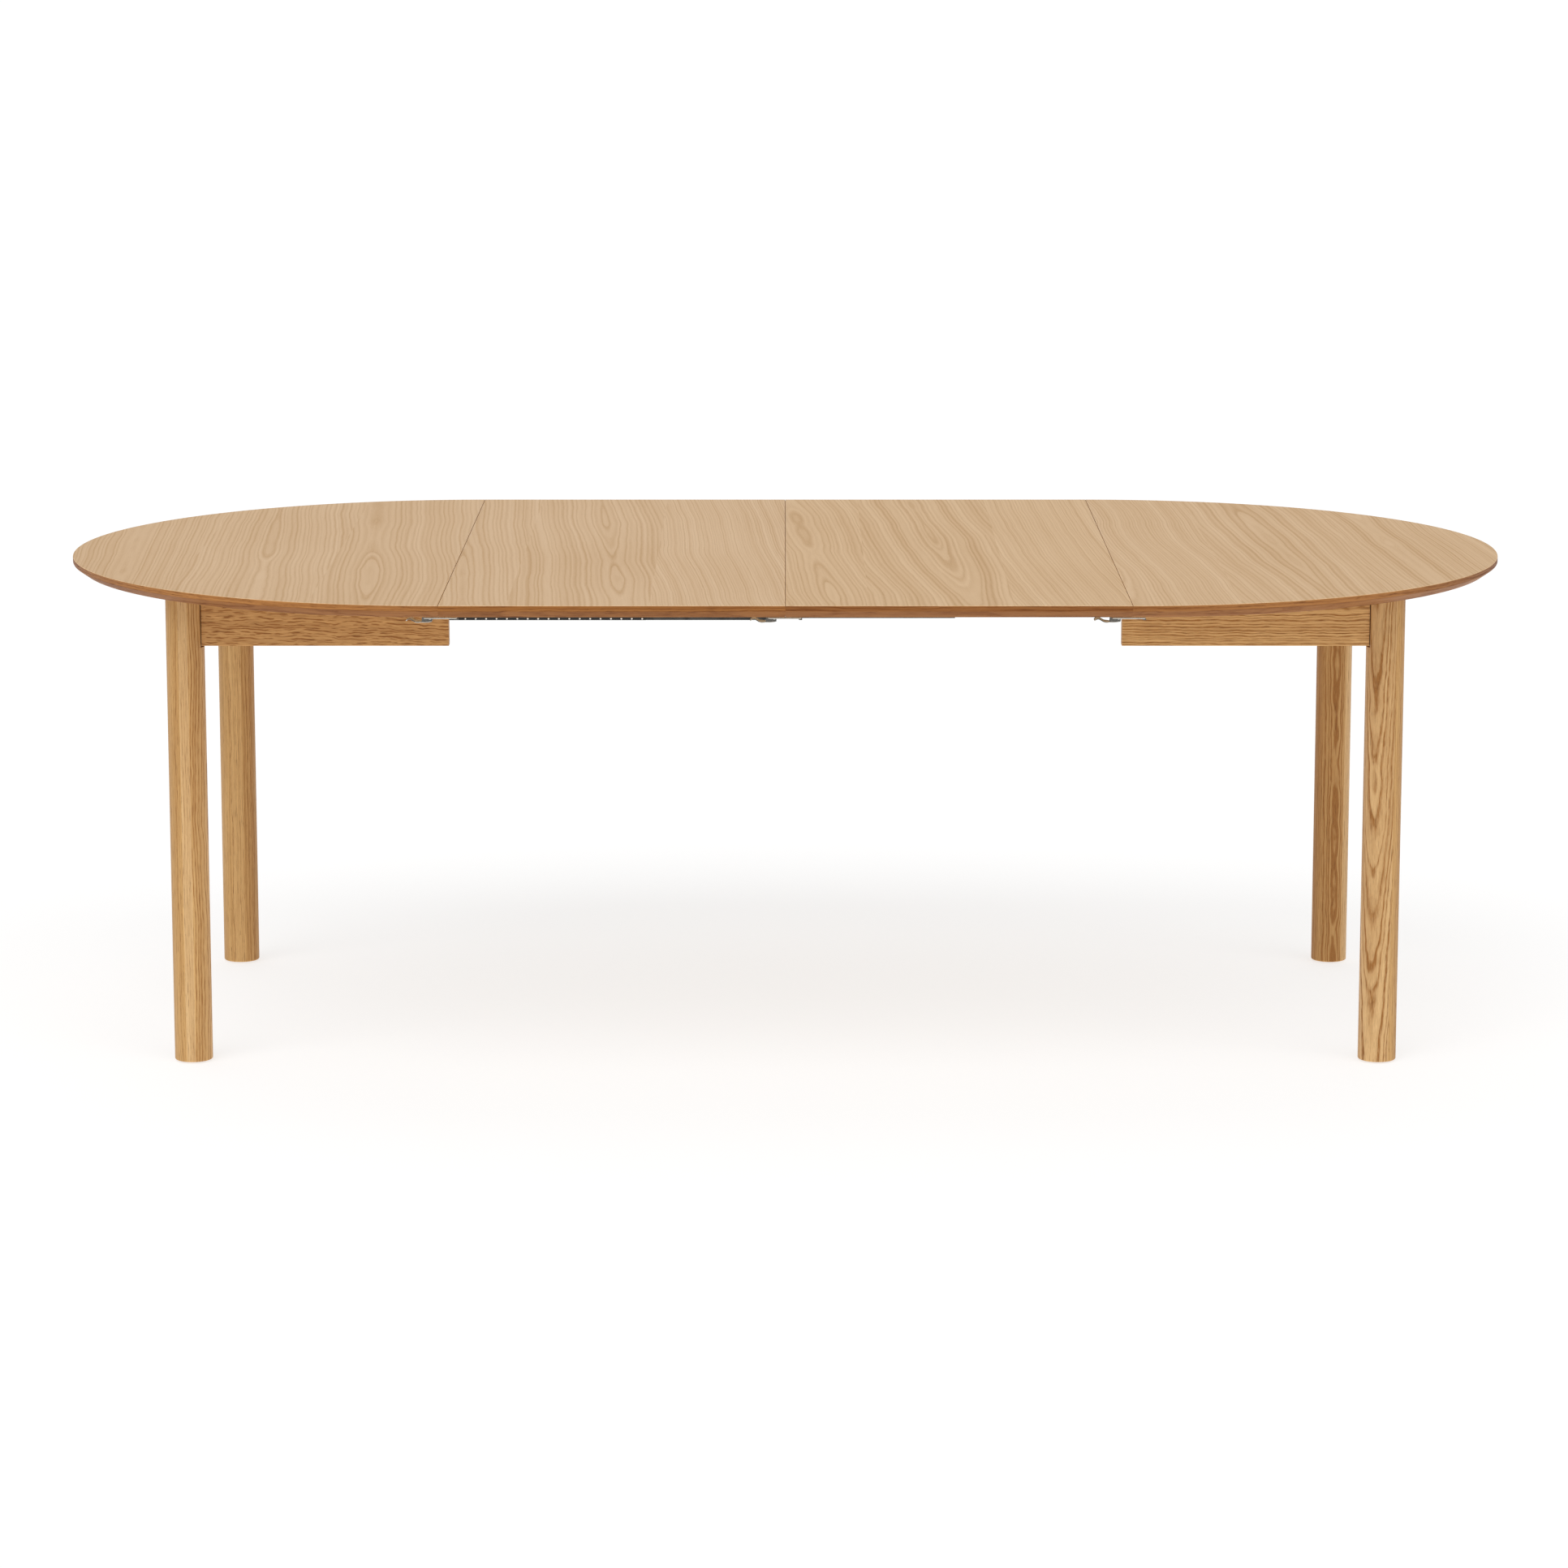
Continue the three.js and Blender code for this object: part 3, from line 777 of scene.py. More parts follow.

# glue lines of each leg's staves from its axis, and of each stave (seed, tint, pith across, pith
# depth, tilt, ring spacing, how strongly the rings show)
# A stave's tint is its own tone, and on the back legs also painted shade: the stave on a back leg's inner
# side, towards the middle of the table, is the darkest.
STAVES = {
    ("front", "left"): ([-8.0, 6.0], [
        (1.15, 0.18, 75, 30, 0.004, 0.9, 0.22),
        (2.95, -0.06, 66, 52, 0.006, 0.8, 0.35),
        (4.35, 0.14, -90, 20, -0.004, 1.0, 0.80),
    ]),
    ("front", "right"): ([14.3], [
        (5.85, 0.0, -44, 68, -0.060, 1.35, 1.0),
        (6.20, 0.18, 82, 24, 0.004, 0.9, 0.25),
    ]),
    ("back", "left"): ([-10.0, 10.0], [
        (7.10, 0.10, 75, 22, -0.004, 0.9, 0.22),
        (8.30, -0.04, -60, 52, 0.008, 0.8, 0.45),
        (9.10, 0.22, -50, 40, 0.006, 0.8, 0.75),
    ]),
    ("back", "right"): ([-18.5, 17.0], [
        (10.10, 0.36, 64, 24, 0.0, 0.9, 0.30),
        (11.20, 0.17, 5, 47, 0.012, 0.8, 1.0),
        (12.75, -0.10, -78, 24, 0.004, 0.9, 0.20),
    ]),
}


def leg_form(side, face):
    """A round leg with two flats at its head, where the rails meet it."""
    x0, y0 = side * LEG_X, face * LEG_Y
    profile = rounded([
        (0.001, LEG_LOW.z, 0),
        (LEG_RADIUS, LEG_LOW.z, FOOT_ROUND),
        (LEG_RADIUS, LEG_SHOULDER_Z, 0),
    ], closed=False, steps=5)[1:]
    stations = [(radius, z, False) for radius, z in profile]
    stations += [(LEG_RADIUS, LEG_SHOULDER_Z, True), (LEG_RADIUS, LEG_HIGH.z, True)]
    rings = []
    for radius, z, flats in stations:
        ring = []
        for i in range(LEG_STEPS):
            angle = 2 * math.pi * i / LEG_STEPS
            u, v = radius * math.cos(angle), radius * math.sin(angle)
            if flats:
                u = side * max(side * u, -LEG_FLAT)
                v = face * max(face * v, -LEG_FLAT)
            ring.append((x0 + u, y0 + v, z))
        rings.append(ring)
    return loft(rings)


def leg_place(x0, y0, pith_across, pith_depth, tilt):
    """The pith leans by the tilt and bends slowly, from a point halfway up the leg."""
    def place(p):
        up = p.z - PITH_FOOT_Z
        return (
            p.z,
            p.x - x0 - pith_across + 0.3 * tilt * up,
            p.y - y0 + pith_depth + tilt * up + PITH_BEND * up ** 2,
        )
    return place


def make_leg(face_name, face, side_name, side):
    x0, y0 = side * LEG_X, face * LEG_Y
    lines, staves = STAVES[face_name, side_name]
    made = leg_form(side, face).bmesh()
    for line in lines:
        parts = list(made.verts) + list(made.edges) + list(made.faces)
        bmesh.ops.bisect_plane(made, geom=parts, plane_co=(x0 + line, 0, 0), plane_no=(1, 0, 0))
    name = f"leg_{face_name}_{side_name}"
    thing = piece(name + "_turned", made, SOLID, f"{side_name}_half", "oak_solid", [name])
    boards = [
        (leg_place(x0, y0, across, depth, tilt), seed, tint, spacing)
        for seed, tint, across, depth, tilt, spacing, _ in staves
    ]
    foot_wear = wear_and_highlight_from(6, lambda p: p.z - LEG_LOW.z)
    paint_grain(thing, boards, lambda c, n: sum(c.x - x0 > line for line in lines), foot_wear,
                [stave[-1] for stave in staves])


RAIL_ROUND = 1.6
FIRST_RAIL_SEED = 20.0
RAIL_SEED_STEP = 1.37
# painted shade: the left rails and the end rails are darkened to stand in for the shade under the top
LEFT_RAIL_PAINTED_SHADE = 0.12
END_RAIL_PAINTED_SHADE = 0.05


def long_rail_place(face, side):
    return lambda p: (
        p.x,
        p.z - RAIL_LOW.z - 85 + 0.02 * side * (abs(p.x) - 680),
        face * p.y - RAIL_HIGH.y + 45 + 0.03 * (abs(p.x) - 500),
    )


def end_rail_place(side):
    return lambda p: (p.y, p.z - RAIL_LOW.z - 30, side * p.x - END_RAIL_HIGH.x + 50 + 0.04 * p.y)


def make_rail(name, along, place, seed, tint, body):
    """A board along an axis, rounded at its two lower edges."""
    low, high = span(name)
    across = "Y" if along == "X" else "X"
    near, far = ("XYZ".index(axis) for axis in (across, along))
    section = rounded([
        (low[near], RAIL_LOW.z, RAIL_ROUND),
        (high[near], RAIL_LOW.z, RAIL_ROUND),
        (high[near], RAIL_HIGH.z, 0),
        (low[near], RAIL_HIGH.z, 0),
    ], steps=3)
    material = FLECKED_OAK if body == "left_half" else RAIL_OAK
    form = drawn(section, low[far], high[far], along)
    thing = piece(name + "_board", form, material, body, "oak_solid", [name])
    rail_wear = wear_and_highlight_from(2.5, lambda p: p.z - RAIL_LOW.z)
    paint_grain(thing, [(place, seed, tint, 1.0)], lambda c, n: 0, rail_wear)


def make_rails():
    seed = FIRST_RAIL_SEED
    for face_name, face, side_name, side in CORNERS:
        seed += RAIL_SEED_STEP
        make_rail(f"rail_{face_name}_{side_name}", "X", long_rail_place(face, side), seed,
                  LEFT_RAIL_PAINTED_SHADE if side < 0 else 0.0, f"{side_name}_half")
    for side_name, side in SIDES.items():
        seed += RAIL_SEED_STEP
        make_rail(f"end_rail_{side_name}", "Y", end_rail_place(side), seed, END_RAIL_PAINTED_SHADE,
                  f"{side_name}_half")


for corner in CORNERS:
    make_leg(*corner)
make_rails()


# ---------- metal, plastic and felt ----------


METAL_DEPTH = 0.00008


def surface(name, colour, metallic, rough, mottle=0.12, streak=None, edge=None, bump=0.15, grain=900.0):
    """A finish from fine noise: mottled colour and gloss, streaks along one way, bare edges."""
    n = Nodes(name)
    coordinates = n.new("TexCoord").outputs["Object"]
    cloudy = n.noise(n.scaled(coordinates, (60, 60, 60)), 3.0)
    fine = n.noise(n.scaled(coordinates, (grain, grain, grain)), 2.0)
    dark = tuple(value * (1 - mottle) for value in colour) + (1,)
    bright = tuple(min(value * (1 + mottle), 1.0) for value in colour) + (1,)
    tone = n.line(fine, 0.5, n.times(cloudy, 0.5))
    base = n.mix(n.remap(tone, 0.35, 0.65), dark, bright)
    roughness = n.remap(tone, 0.3, 0.7, rough[0], rough[1], smooth=False)
    height = fine
    if streak:
        marks = n.noise(n.scaled(coordinates, streak), 2.0)
        roughness = n.add(roughness, n.swing(marks, 0.1))
        height = n.add(n.times(fine, 0.4), n.times(marks, 0.8))
        base = n.mix(n.remap(marks, 0.58, 0.72, 0, 0.5), base, bright)
    if edge:
        pointed = n.new("NewGeometry").outputs["Pointiness"]
        bare = n.times(n.remap(pointed, 0.53, 0.62), n.remap(cloudy, 0.35, 0.6, 0.3, 1.0))
        base = n.mix(bare, base, edge + (1,))
    n.set(base_color=base, roughness=roughness)
    n.shader.inputs["Metallic"].default_value = metallic
    n.bump(height, bump, METAL_DEPTH)
    return n.material


SLIDE_STEEL = surface("slide_steel", (0.030, 0.028, 0.026), 0.7, (0.34, 0.52), 0.2, (25, 900, 900),
                      (0.16, 0.155, 0.145))
BALL_STEEL = surface("ball_steel", (0.93, 0.92, 0.90), 1.0, (0.18, 0.30), 0.04, bump=0.03)
ZINC = surface("zinc", (0.15, 0.142, 0.13), 0.9, (0.30, 0.48), 0.45)
NICKEL = surface("nickel", (0.56, 0.54, 0.50), 1.0, (0.16, 0.32), 0.14, (70, 70, 2200), None, 0.08)
BRACKET_STEEL = surface("bracket_steel", (0.60, 0.60, 0.59), 1.0, (0.28, 0.46), 0.16, (300, 300, 1500),
                        (0.78, 0.78, 0.77), 0.12, 500.0)
BLACK_PLASTIC = surface("black_plastic", (0.016, 0.015, 0.014), 0.0, (0.42, 0.60), 0.25, None,
                        (0.05, 0.05, 0.05), 0.3, 1500.0)
FELT = surface("glide_felt", (0.145, 0.082, 0.040), 0.0, (0.85, 0.98), 0.45, (900, 900, 900), None,
               1.0, 2600.0)
BEECH = oak("beech", (0.66, 0.43, 0.24, 1), (0.50, 0.29, 0.14, 1), SOLID_GROWTH)

STEEL_FINISH = (BRACKET_STEEL, "bracket_steel")
BRIGHT_FINISH = (NICKEL, "nickel")


# ---------- screws and dowels ----------

# sizes of the screws' pan heads as (radius, height)
SLIDE_SCREW = (3.6, 1.2)
HANGER_SCREW = (4.0, 2.0)
BRACKET_SCREW = (3.8, 2.1)
ANGLE_SCREW = (3.6, 2)
LATCH_SCREW = (2.5, 1.3)


def cross_outline(u, v, reach, width):
    w = width / 2
    corners = [(-w, -reach), (w, -reach), (w, -w), (reach, -w), (reach, w), (w, w),
               (w, reach), (-w, reach), (-w, w), (-reach, w), (-reach, -w), (-w, -w)]
    return [(u + a, v + b) for a, b in corners]


def make_screws(name, places, axis, size, towards, body, finish=STEEL_FINISH):
    """Pan heads with a cross recess, standing on the points given and facing one way along an axis."""
    radius, head = size
    section = rounded([(0.001, 0, 0), (radius, 0, 0), (radius, head, head * 0.8), (0.001, head, 0)],
                      closed=False, steps=4)
    along = "XYZ".index(axis)
    heads, cutters = Form(), []
    for at in places:
        heads.join(lathe([(r, towards * h) for r, h in section], 20, axis, at))
        u, v = [at[i] for i in range(3) if i != along]
        low, high = sorted((at[along] + towards * head * 0.35, at[along] + towards * (head + 1)))
        cutters.append(drawn(cross_outline(u, v, radius * 0.6, radius * 0.24), low, high, axis))
    metal, slot = finish
    piece(name, drilled(heads, cutters), metal, body, slot)


DOWEL_SIDES = 48
DOWEL_BURIED = 6
FLUTES = 12
FLUTE_DEPTH = 0.035      # as a share of the radius
# the proud end as (distance from its tip, share of the radius)
DOWEL_CHAMFER = [(1.2, 1), (0.4, 0.9), (0, 0.72)]


def dowel(seam, y):
    rings = []
    tip = seam + DOWEL_PROUD
    for x, share in [(seam - DOWEL_BURIED, 1)] + [(tip - back, share) for back, share in DOWEL_CHAMFER]:
        ring = []
        for i in range(DOWEL_SIDES):
            angle = 2 * math.pi * i / DOWEL_SIDES
            r = DOWEL_RADIUS * share * (1 - FLUTE_DEPTH * max(0.0, math.cos(FLUTES * angle)) ** 2)
            ring.append((x, y + r * math.cos(angle), DOWEL_Z + r * math.sin(angle)))
        rings.append(ring)
    return loft(rings)


def make_dowels():
    """Beech dowels in the -X side of every seam, with grooved and chamfered ends."""
    for seam_name, seam in SEAMS.items():
        form = Form()
        for y in DOWEL_Y:
            form.join(dowel(seam, y))
        thing = piece(f"dowels_{seam_name}", form, BEECH, SEAM_BODIES[seam_name][0], "oak_solid")

        def place(p):
            return (p.x - seam, p.y % 90 - 15, p.z - DOWEL_Z + 25)

        paint_grain(thing, [(place, 31 + seam * 0.01, -0.05, 0.6)], lambda c, n: 0)


# ---------- telescopic ball slides ----------

SLIDE_SHEET = 1.2
SLIDE_BEND = 1.7
FLANGE_TIP_Y = 319
HANGER_Y = 317.5
OUTER_SLIDE_LOW, OUTER_SLIDE_HIGH = span("slide_back_left_rail")
SLIDE_MIDDLE_Z = (OUTER_SLIDE_LOW.z + OUTER_SLIDE_HIGH.z) / 2
SLIDE_BODIES = {
    "left_rail": "left_half",
    "first_stage": "first_stage",
    "second_stage": "second_stage",
    "right_rail": "right_half",
}
RACE_DEPTH = 0.35        # the webs are pressed out this much along the ball rows
RACE_HALF_WIDTH = 2.0
RACE_FROM_FLANGE = 3.6
HOLE_PITCH = 64
HOLE_RADIUS = 2.4
SLOT_HALF_LENGTH = 8
SLOT_ROUND = 2.3
BALL_RADIUS = 1.8
BALL_PITCH = 15.5
BALL_FROM_EDGE = 2.5     # from a cage's long edge to its row of balls
LEFT_SCREWS_X = (-855, -820, -775)
RIGHT_SCREWS_X = (520, 610, 700, 790, 850)


def mirrored(form, face):
    """The form as made for the back, or turned over to the front."""
    return form if face > 0 else moved(form, Matrix.Diagonal((1, -1, 1, 1)))


def member_section(name, low, high):
    """The member's sheet in (distance from the middle of the table, height)."""
    half = SLIDE_SHEET / 2
    bottom, web = low.z + half, high.y - half
    top = 2 * SLIDE_MIDDLE_Z - bottom
    line = [(FLANGE_TIP_Y, bottom, 0), (web, bottom, SLIDE_BEND)]
    for z in (bottom + RACE_FROM_FLANGE, top - RACE_FROM_FLANGE):
        line += [(web, z - RACE_HALF_WIDTH, 0), (web - RACE_DEPTH, z, 0.8), (web, z + RACE_HALF_WIDTH, 0)]
    line.append((web, top, SLIDE_BEND))
    if name == "right_rail":
        hanger, under = HANGER_Y - half, high.z - half
        line += [(hanger, top, SLIDE_BEND), (hanger, under, SLIDE_BEND), (low.y, under, 0)]
    else:
        line.append((FLANGE_TIP_Y, top, 0))
    return sheet_outline(rounded(line, closed=False, steps=4), SLIDE_SHEET)


def web_holes(low, high):
    """Cutters for the round holes and slots through a member's web: every third one is a slot."""
    y0, y1 = high.y - 6, high.y + 2
    count = int((high.x - low.x - 60) // HOLE_PITCH) + 1
    start = (low.x + high.x - (count - 1) * HOLE_PITCH) / 2
    for i in range(count):
        x = start + i * HOLE_PITCH
        if i % 3 == 1:
            slot_line = round_box(x - SLOT_HALF_LENGTH, SLIDE_MIDDLE_Z - HOLE_RADIUS,
                                  x + SLOT_HALF_LENGTH, SLIDE_MIDDLE_Z + HOLE_RADIUS, SLOT_ROUND)
            yield drawn(slot_line, y0, y1, "Y")
        else:
            yield lathe([(HOLE_RADIUS, y0), (HOLE_RADIUS, y1)], 20, "Y", (x, 0, SLIDE_MIDDLE_Z))


def make_slides():
    for face_name, face in FACES.items():
        for name, body in SLIDE_BODIES.items():
            low, high = span(f"slide_back_{name}")
            form = mirrored(drawn(member_section(name, low, high), low.x, high.x, "X"), face)
            if name == "left_rail":
                made = form.bmesh()
            else:
                made = drilled(form, [mirrored(hole, face) for hole in web_holes(low, high)])
            node = f"slide_{face_name}_{name}"
            piece(node + "_channel", made, SLIDE_STEEL, body, "slide_steel", [node], bevel=0.18)
        web = face * (OUTER_SLIDE_HIGH.y - SLIDE_SHEET)
        places = [(x, web, SLIDE_MIDDLE_Z) for x in LEFT_SCREWS_X]
        make_screws(f"slide_screws_{face_name}_left", places, "Y", SLIDE_SCREW, -face, "left_half")
        low, high = span("slide_back_right_rail")
        places = [(x, face * (low.y + 10), high.z - SLIDE_SHEET) for x in RIGHT_SCREWS_X]
        make_screws(f"slide_screws_{face_name}_right", places, "Z", HANGER_SCREW, -1, "right_half")


def ball_rows(low, high):
    """Every ball's (x, z) in one cage."""
    count = int((high.x - low.x - 8) // BALL_PITCH) + 1
    start = (low.x + high.x - (count - 1) * BALL_PITCH) / 2
    for i in range(count):
        for z in (low.z + BALL_FROM_EDGE, high.z - BALL_FROM_EDGE):
            yield start + i * BALL_PITCH, z


def make_balls(name, places, y, body):
    made = bmesh.new()
    for x, z in places:
        bmesh.ops.create_icosphere(
            made, subdivisions=3, radius=BALL_RADIUS, matrix=Matrix.Translation((x, y, z))
        )
    for face in made.faces:
        face.smooth = True
    piece(name, made, BALL_STEEL, body, "bracket_steel")


CAGE_ROUND = 1.5
WINDOW_FROM_END = 9
WINDOW_FROM_EDGE = 6.2
WINDOW_LENGTH = 36
WINDOW_PITCH = 48
CAGE_RING = [(2.15, -0.85), (2.3, -0.7), (2.3, 0.7), (2.15, 0.85)]   # (radius, height) of its outline


def make_cages():
    """Punched strips that keep the balls apart, with a raised ring round each ball."""
    for face_name in FACES:
        for cage in ("left", "middle", "right"):
            node = f"ball_cage_{face_name}_{cage}"
            body = f"cage_{cage}"
            low, high = span(node)
            middle = (low.y + high.y) / 2
            places = list(ball_rows(low, high))
            plate = drawn(round_box(low.x, low.z, high.x, high.z, CAGE_ROUND), low.y, high.y, "Y")
            cutters = []
            x = low.x + WINDOW_FROM_END
            while x + WINDOW_LENGTH + 4 < high.x:
                opening = round_box(x, low.z + WINDOW_FROM_EDGE, x + WINDOW_LENGTH,
                                    high.z - WINDOW_FROM_EDGE, 2, steps=3)
                cutters.append(drawn(opening, low.y - 1, high.y + 1, "Y"))
                x += WINDOW_PITCH
            piece(node + "_strip", drilled(plate, cutters), BLACK_PLASTIC, body, "black_plastic", [node],
                  bevel=0.12)
            rings = Form()
            for x, z in places:
                rings.join(lathe(CAGE_RING, 20, "Y", (x, middle, z)))
            piece(node + "_rings", rings, BLACK_PLASTIC, body, "black_plastic")
            make_balls(f"balls_{face_name}_{cage}", places, middle, body)


# ---------- corner brackets, bolts and fixing angles ----------

BRACKET_LOW, BRACKET_HIGH = span("corner_bracket_back_right")
BRACKET_SHEET = 2.5
BRACKET_FOOT = 22
SLOT_FROM_BOLT = 24
BOLT_RADIUS = 4
BOLT_TAIL = 15           # how far the bolt stands out behind the strip
BOLT_BURIED = 4
THREAD_PITCH = 1.25
THREAD_DEPTH = 0.45
NUT_FLATS = 13
NUT_HIGH = 6.5
WASHER_RADIUS = 9
WASHER_SHEET = 1.6


def hex_outline(across_flats):
    reach = across_flats / 2 / math.cos(math.pi / 6)
    return [(reach * math.cos(i * math.pi / 3), reach * math.sin(i * math.pi / 3)) for i in range(6)]


def hanger_bolt(leg_face):
    """Bolt, washer and nut along Z: 0 is the strip's middle, and the leg is at the positive end."""
    inner = -BRACKET_SHEET / 2
    root = BOLT_RADIUS - THREAD_DEPTH
    thread = []
    z = inner - BOLT_TAIL
    while z < leg_face + BOLT_BURIED:
        thread += [(root, z), (BOLT_RADIUS, z + THREAD_DEPTH), (root, z + 2 * THREAD_DEPTH)]
        z += THREAD_PITCH
    tip = (BOLT_RADIUS - 1.2, thread[0][1] - 0.6)
    washer = rounded([
        (BOLT_RADIUS, inner - WASHER_SHEET, 0),
        (WASHER_RADIUS, inner - WASHER_SHEET, 0.3),
        (WASHER_RADIUS, inner - 0.02, 0.3),
        (BOLT_RADIUS, inner - 0.02, 0),
    ], closed=False, steps=3)
    nut_face = inner - WASHER_SHEET - 0.05
    nut = drawn(hex_outline(NUT_FLATS), nut_face - NUT_HIGH, nut_face, "Z")
    return lathe([tip] + thread, 20).join(lathe(washer, 32)).join(nut)


def make_brackets():
    """Pressed strips across the corners; each is made for the back right and turned over."""
    line_x = BRACKET_HIGH.x - BRACKET_SHEET / 2
    line_y = BRACKET_HIGH.y - BRACKET_SHEET / 2
    reach = line_x - BRACKET_LOW.x - BRACKET_FOOT
    middle_z = (BRACKET_LOW.z + BRACKET_HIGH.z) / 2
    line = rounded([
        (line_x, line_y - reach - BRACKET_FOOT, 0),
        (line_x, line_y - reach, 5),
        (line_x - reach, line_y, 5),
        (line_x - reach - BRACKET_FOOT, line_y, 0),
    ], closed=False, steps=6)
    strip = drawn(sheet_outline(line, BRACKET_SHEET), BRACKET_LOW.z, BRACKET_HIGH.z, "Z")
    bolt_middle = Vector((line_x - reach / 2, line_y - reach / 2, middle_z))
    outward = Vector((1, 1, 0)).normalized()
    across = Vector((1, -1, 0)).normalized()
    turn = Matrix((across, Vector((0, 0, 1)), outward)).transposed().to_4x4()
    place = Matrix.Translation(bolt_middle) @ turn
    leg_face = (Vector((LEG_X, LEG_Y, middle_z)) - bolt_middle).length - LEG_RADIUS
    fastening = moved(hanger_bolt(leg_face), place)
    slots = []
    for x in (-SLOT_FROM_BOLT, SLOT_FROM_BOLT):
        slots.append(moved(drawn(round_box(x - 5, -3.2, x + 5, 3.2, 3), -3, 3, "Z"), place))
    end = reach + BRACKET_FOOT / 2
    for face_name, face, side_name, side in CORNERS:
        corner = f"{face_name}_{side_name}"
        turn_over = Matrix.Diagonal((side, face, 1, 1))
        body = f"{side_name}_half"
        node = f"corner_bracket_{corner}"
        made = drilled(moved(strip, turn_over), [moved(slot, turn_over) for slot in slots])
        piece(node + "_strip", made, BRACKET_STEEL, body, "bracket_steel", [node], bevel=0.35)
        piece(f"hanger_bolt_{corner}", moved(fastening, turn_over), BRACKET_STEEL, body, "bracket_steel",
              bevel=0.2)
        x_face = side * (line_x - BRACKET_SHEET / 2)
        y_face = face * (line_y - BRACKET_SHEET / 2)
        places = [(x_face, face * (line_y - end), middle_z + dz) for dz in (-6, 6)]
        make_screws(f"end_rail_screws_{corner}", places, "X", BRACKET_SCREW, -side, body)
        places = [(side * (line_x - end), y_face, middle_z + dz) for dz in (-6, 6)]
        make_screws(f"rail_screws_{corner}", places, "Y", BRACKET_SCREW, -face, body)


ANGLE_SHEET = 2
ANGLE_ARM = 18
ANGLE_WIDTH = 16
ANGLE_Y = (-220, 0, 220)
ANGLE_SCREW_FROM_CORNER = 11


def make_fixing_angles():
    """Small steel angles that hold the tops down on the end rails."""
    inner_x = END_RAIL_LOW.x - 0.1
    top_z = UNDERSIDE - 0.1
    half = ANGLE_SHEET / 2
    line = rounded([
        (inner_x - half, top_z - ANGLE_ARM, 0),
        (inner_x - half, top_z - half, 2.4),
        (inner_x - ANGLE_ARM, top_z - half, 0),
    ], closed=False, steps=4)
    for side_name, side in SIDES.items():
        body = f"{side_name}_half"
        outline = [(side * x, z) for x, z in sheet_outline(line, ANGLE_SHEET)]
        angles = Form()
        for y in ANGLE_Y:
            angles.join(drawn(outline, y - ANGLE_WIDTH / 2, y + ANGLE_WIDTH / 2, "Y"))
        piece(f"fixing_angles_{side_name}", angles, BRACKET_STEEL, body, "bracket_steel", bevel=0.3)
        places = [(side * (inner_x - ANGLE_SCREW_FROM_CORNER), y, top_z - ANGLE_SHEET) for y in ANGLE_Y]
        make_screws(f"top_screws_{side_name}", places, "Z", ANGLE_SCREW, -1, body)
        places = [(side * (inner_x - ANGLE_SHEET), y, top_z - ANGLE_SCREW_FROM_CORNER) for y in ANGLE_Y]
        make_screws(f"angle_screws_{side_name}", places, "X", ANGLE_SCREW, -side, body)


def make_glides():
    """Felt pads under the legs."""
    for face_name, _, side_name, _ in CORNERS:
        node = f"glide_{face_name}_{side_name}"
        low, high = span(node)
        radius = (high.x - low.x) / 2
        section = rounded([
            (0.01, low.z, 0), (radius, low.z, 0.7), (radius, high.z, 0.3), (0.01, high.z, 0)
        ], closed=False, steps=4)
        centre = ((low.x + high.x) / 2, (low.y + high.y) / 2, 0)
        form = lathe(section, 40, "Z", centre)
        piece(node + "_pad", form, FELT, f"{side_name}_half", "glide_felt", [node])


# ---------- toggle latches ----------

# A latch is drawn round the point on its seam, on its centre line, at the underside of the top.
# -X is the lever's side and +X the hook's.
LATCH_Y = 520
LEVER_PIN = (-16, -9.5)
BAIL_PIN = (-25, -9.3)
CATCH = (22, -9.5)
PLATE_TOP = -0.05
PLATE_BOTTOM = -1.8
EAR_INNER, EAR_OUTER, EAR_ROUND = 8, 9.2, 3.6
CHEEK_INNER, CHEEK_OUTER = 6.3, 7.5
CHEEK_FOOT = -14.8
WIRE_RADIUS = 1.3
WIRE_Y = 10.9
WIRE_BEND = 2.9
LEVER_SHEET = 1.3
TAB_HALF_WIDTH = 11.5
HOOK_SHEET = 1.5
HOOK_HALF_WIDTH = 5
BASE_PLATE = (-36, -13, -4, 13)
STRIKE_PLATE = (3, -9, 30, 9)
LATCH_SCREWS = {
    "base": [(x, y, PLATE_BOTTOM) for x in (-31.5, -8) for y in (-9.8, 9.8)],
    "strike": [(x, y, PLATE_BOTTOM) for x in (8, 26) for y in (-6, 6)],
}


def arc(centre, radius, start, end, steps=8):
    """Points of an arc, angles in degrees."""
    points = []
    for i in range(steps + 1):
        angle = math.radians(start + (end - start) * i / steps)
        points.append((centre[0] + radius * math.cos(angle), centre[1] + radius * math.sin(angle)))
    return points


def both_sides(outline, inner, outer):
    return drawn(outline, inner, outer, "Y").join(drawn(outline, -outer, -inner, "Y"))


def pin_heads():
    """The lever pin's two domed heads outside the ears."""
    inner, outer, radius = EAR_OUTER - 0.05, EAR_OUTER + 0.36, 2.4
    dome = rounded([(radius, inner, 0), (radius, outer, (outer - inner) * 0.9), (0.01, outer, 0)],
                   closed=False, steps=5)
    form = Form()
    for towards in (-1, 1):
        form.join(lathe([(r, towards * h) for r, h in dome], 18, "Y", (LEVER_PIN[0], 0, LEVER_PIN[1])))
    return form


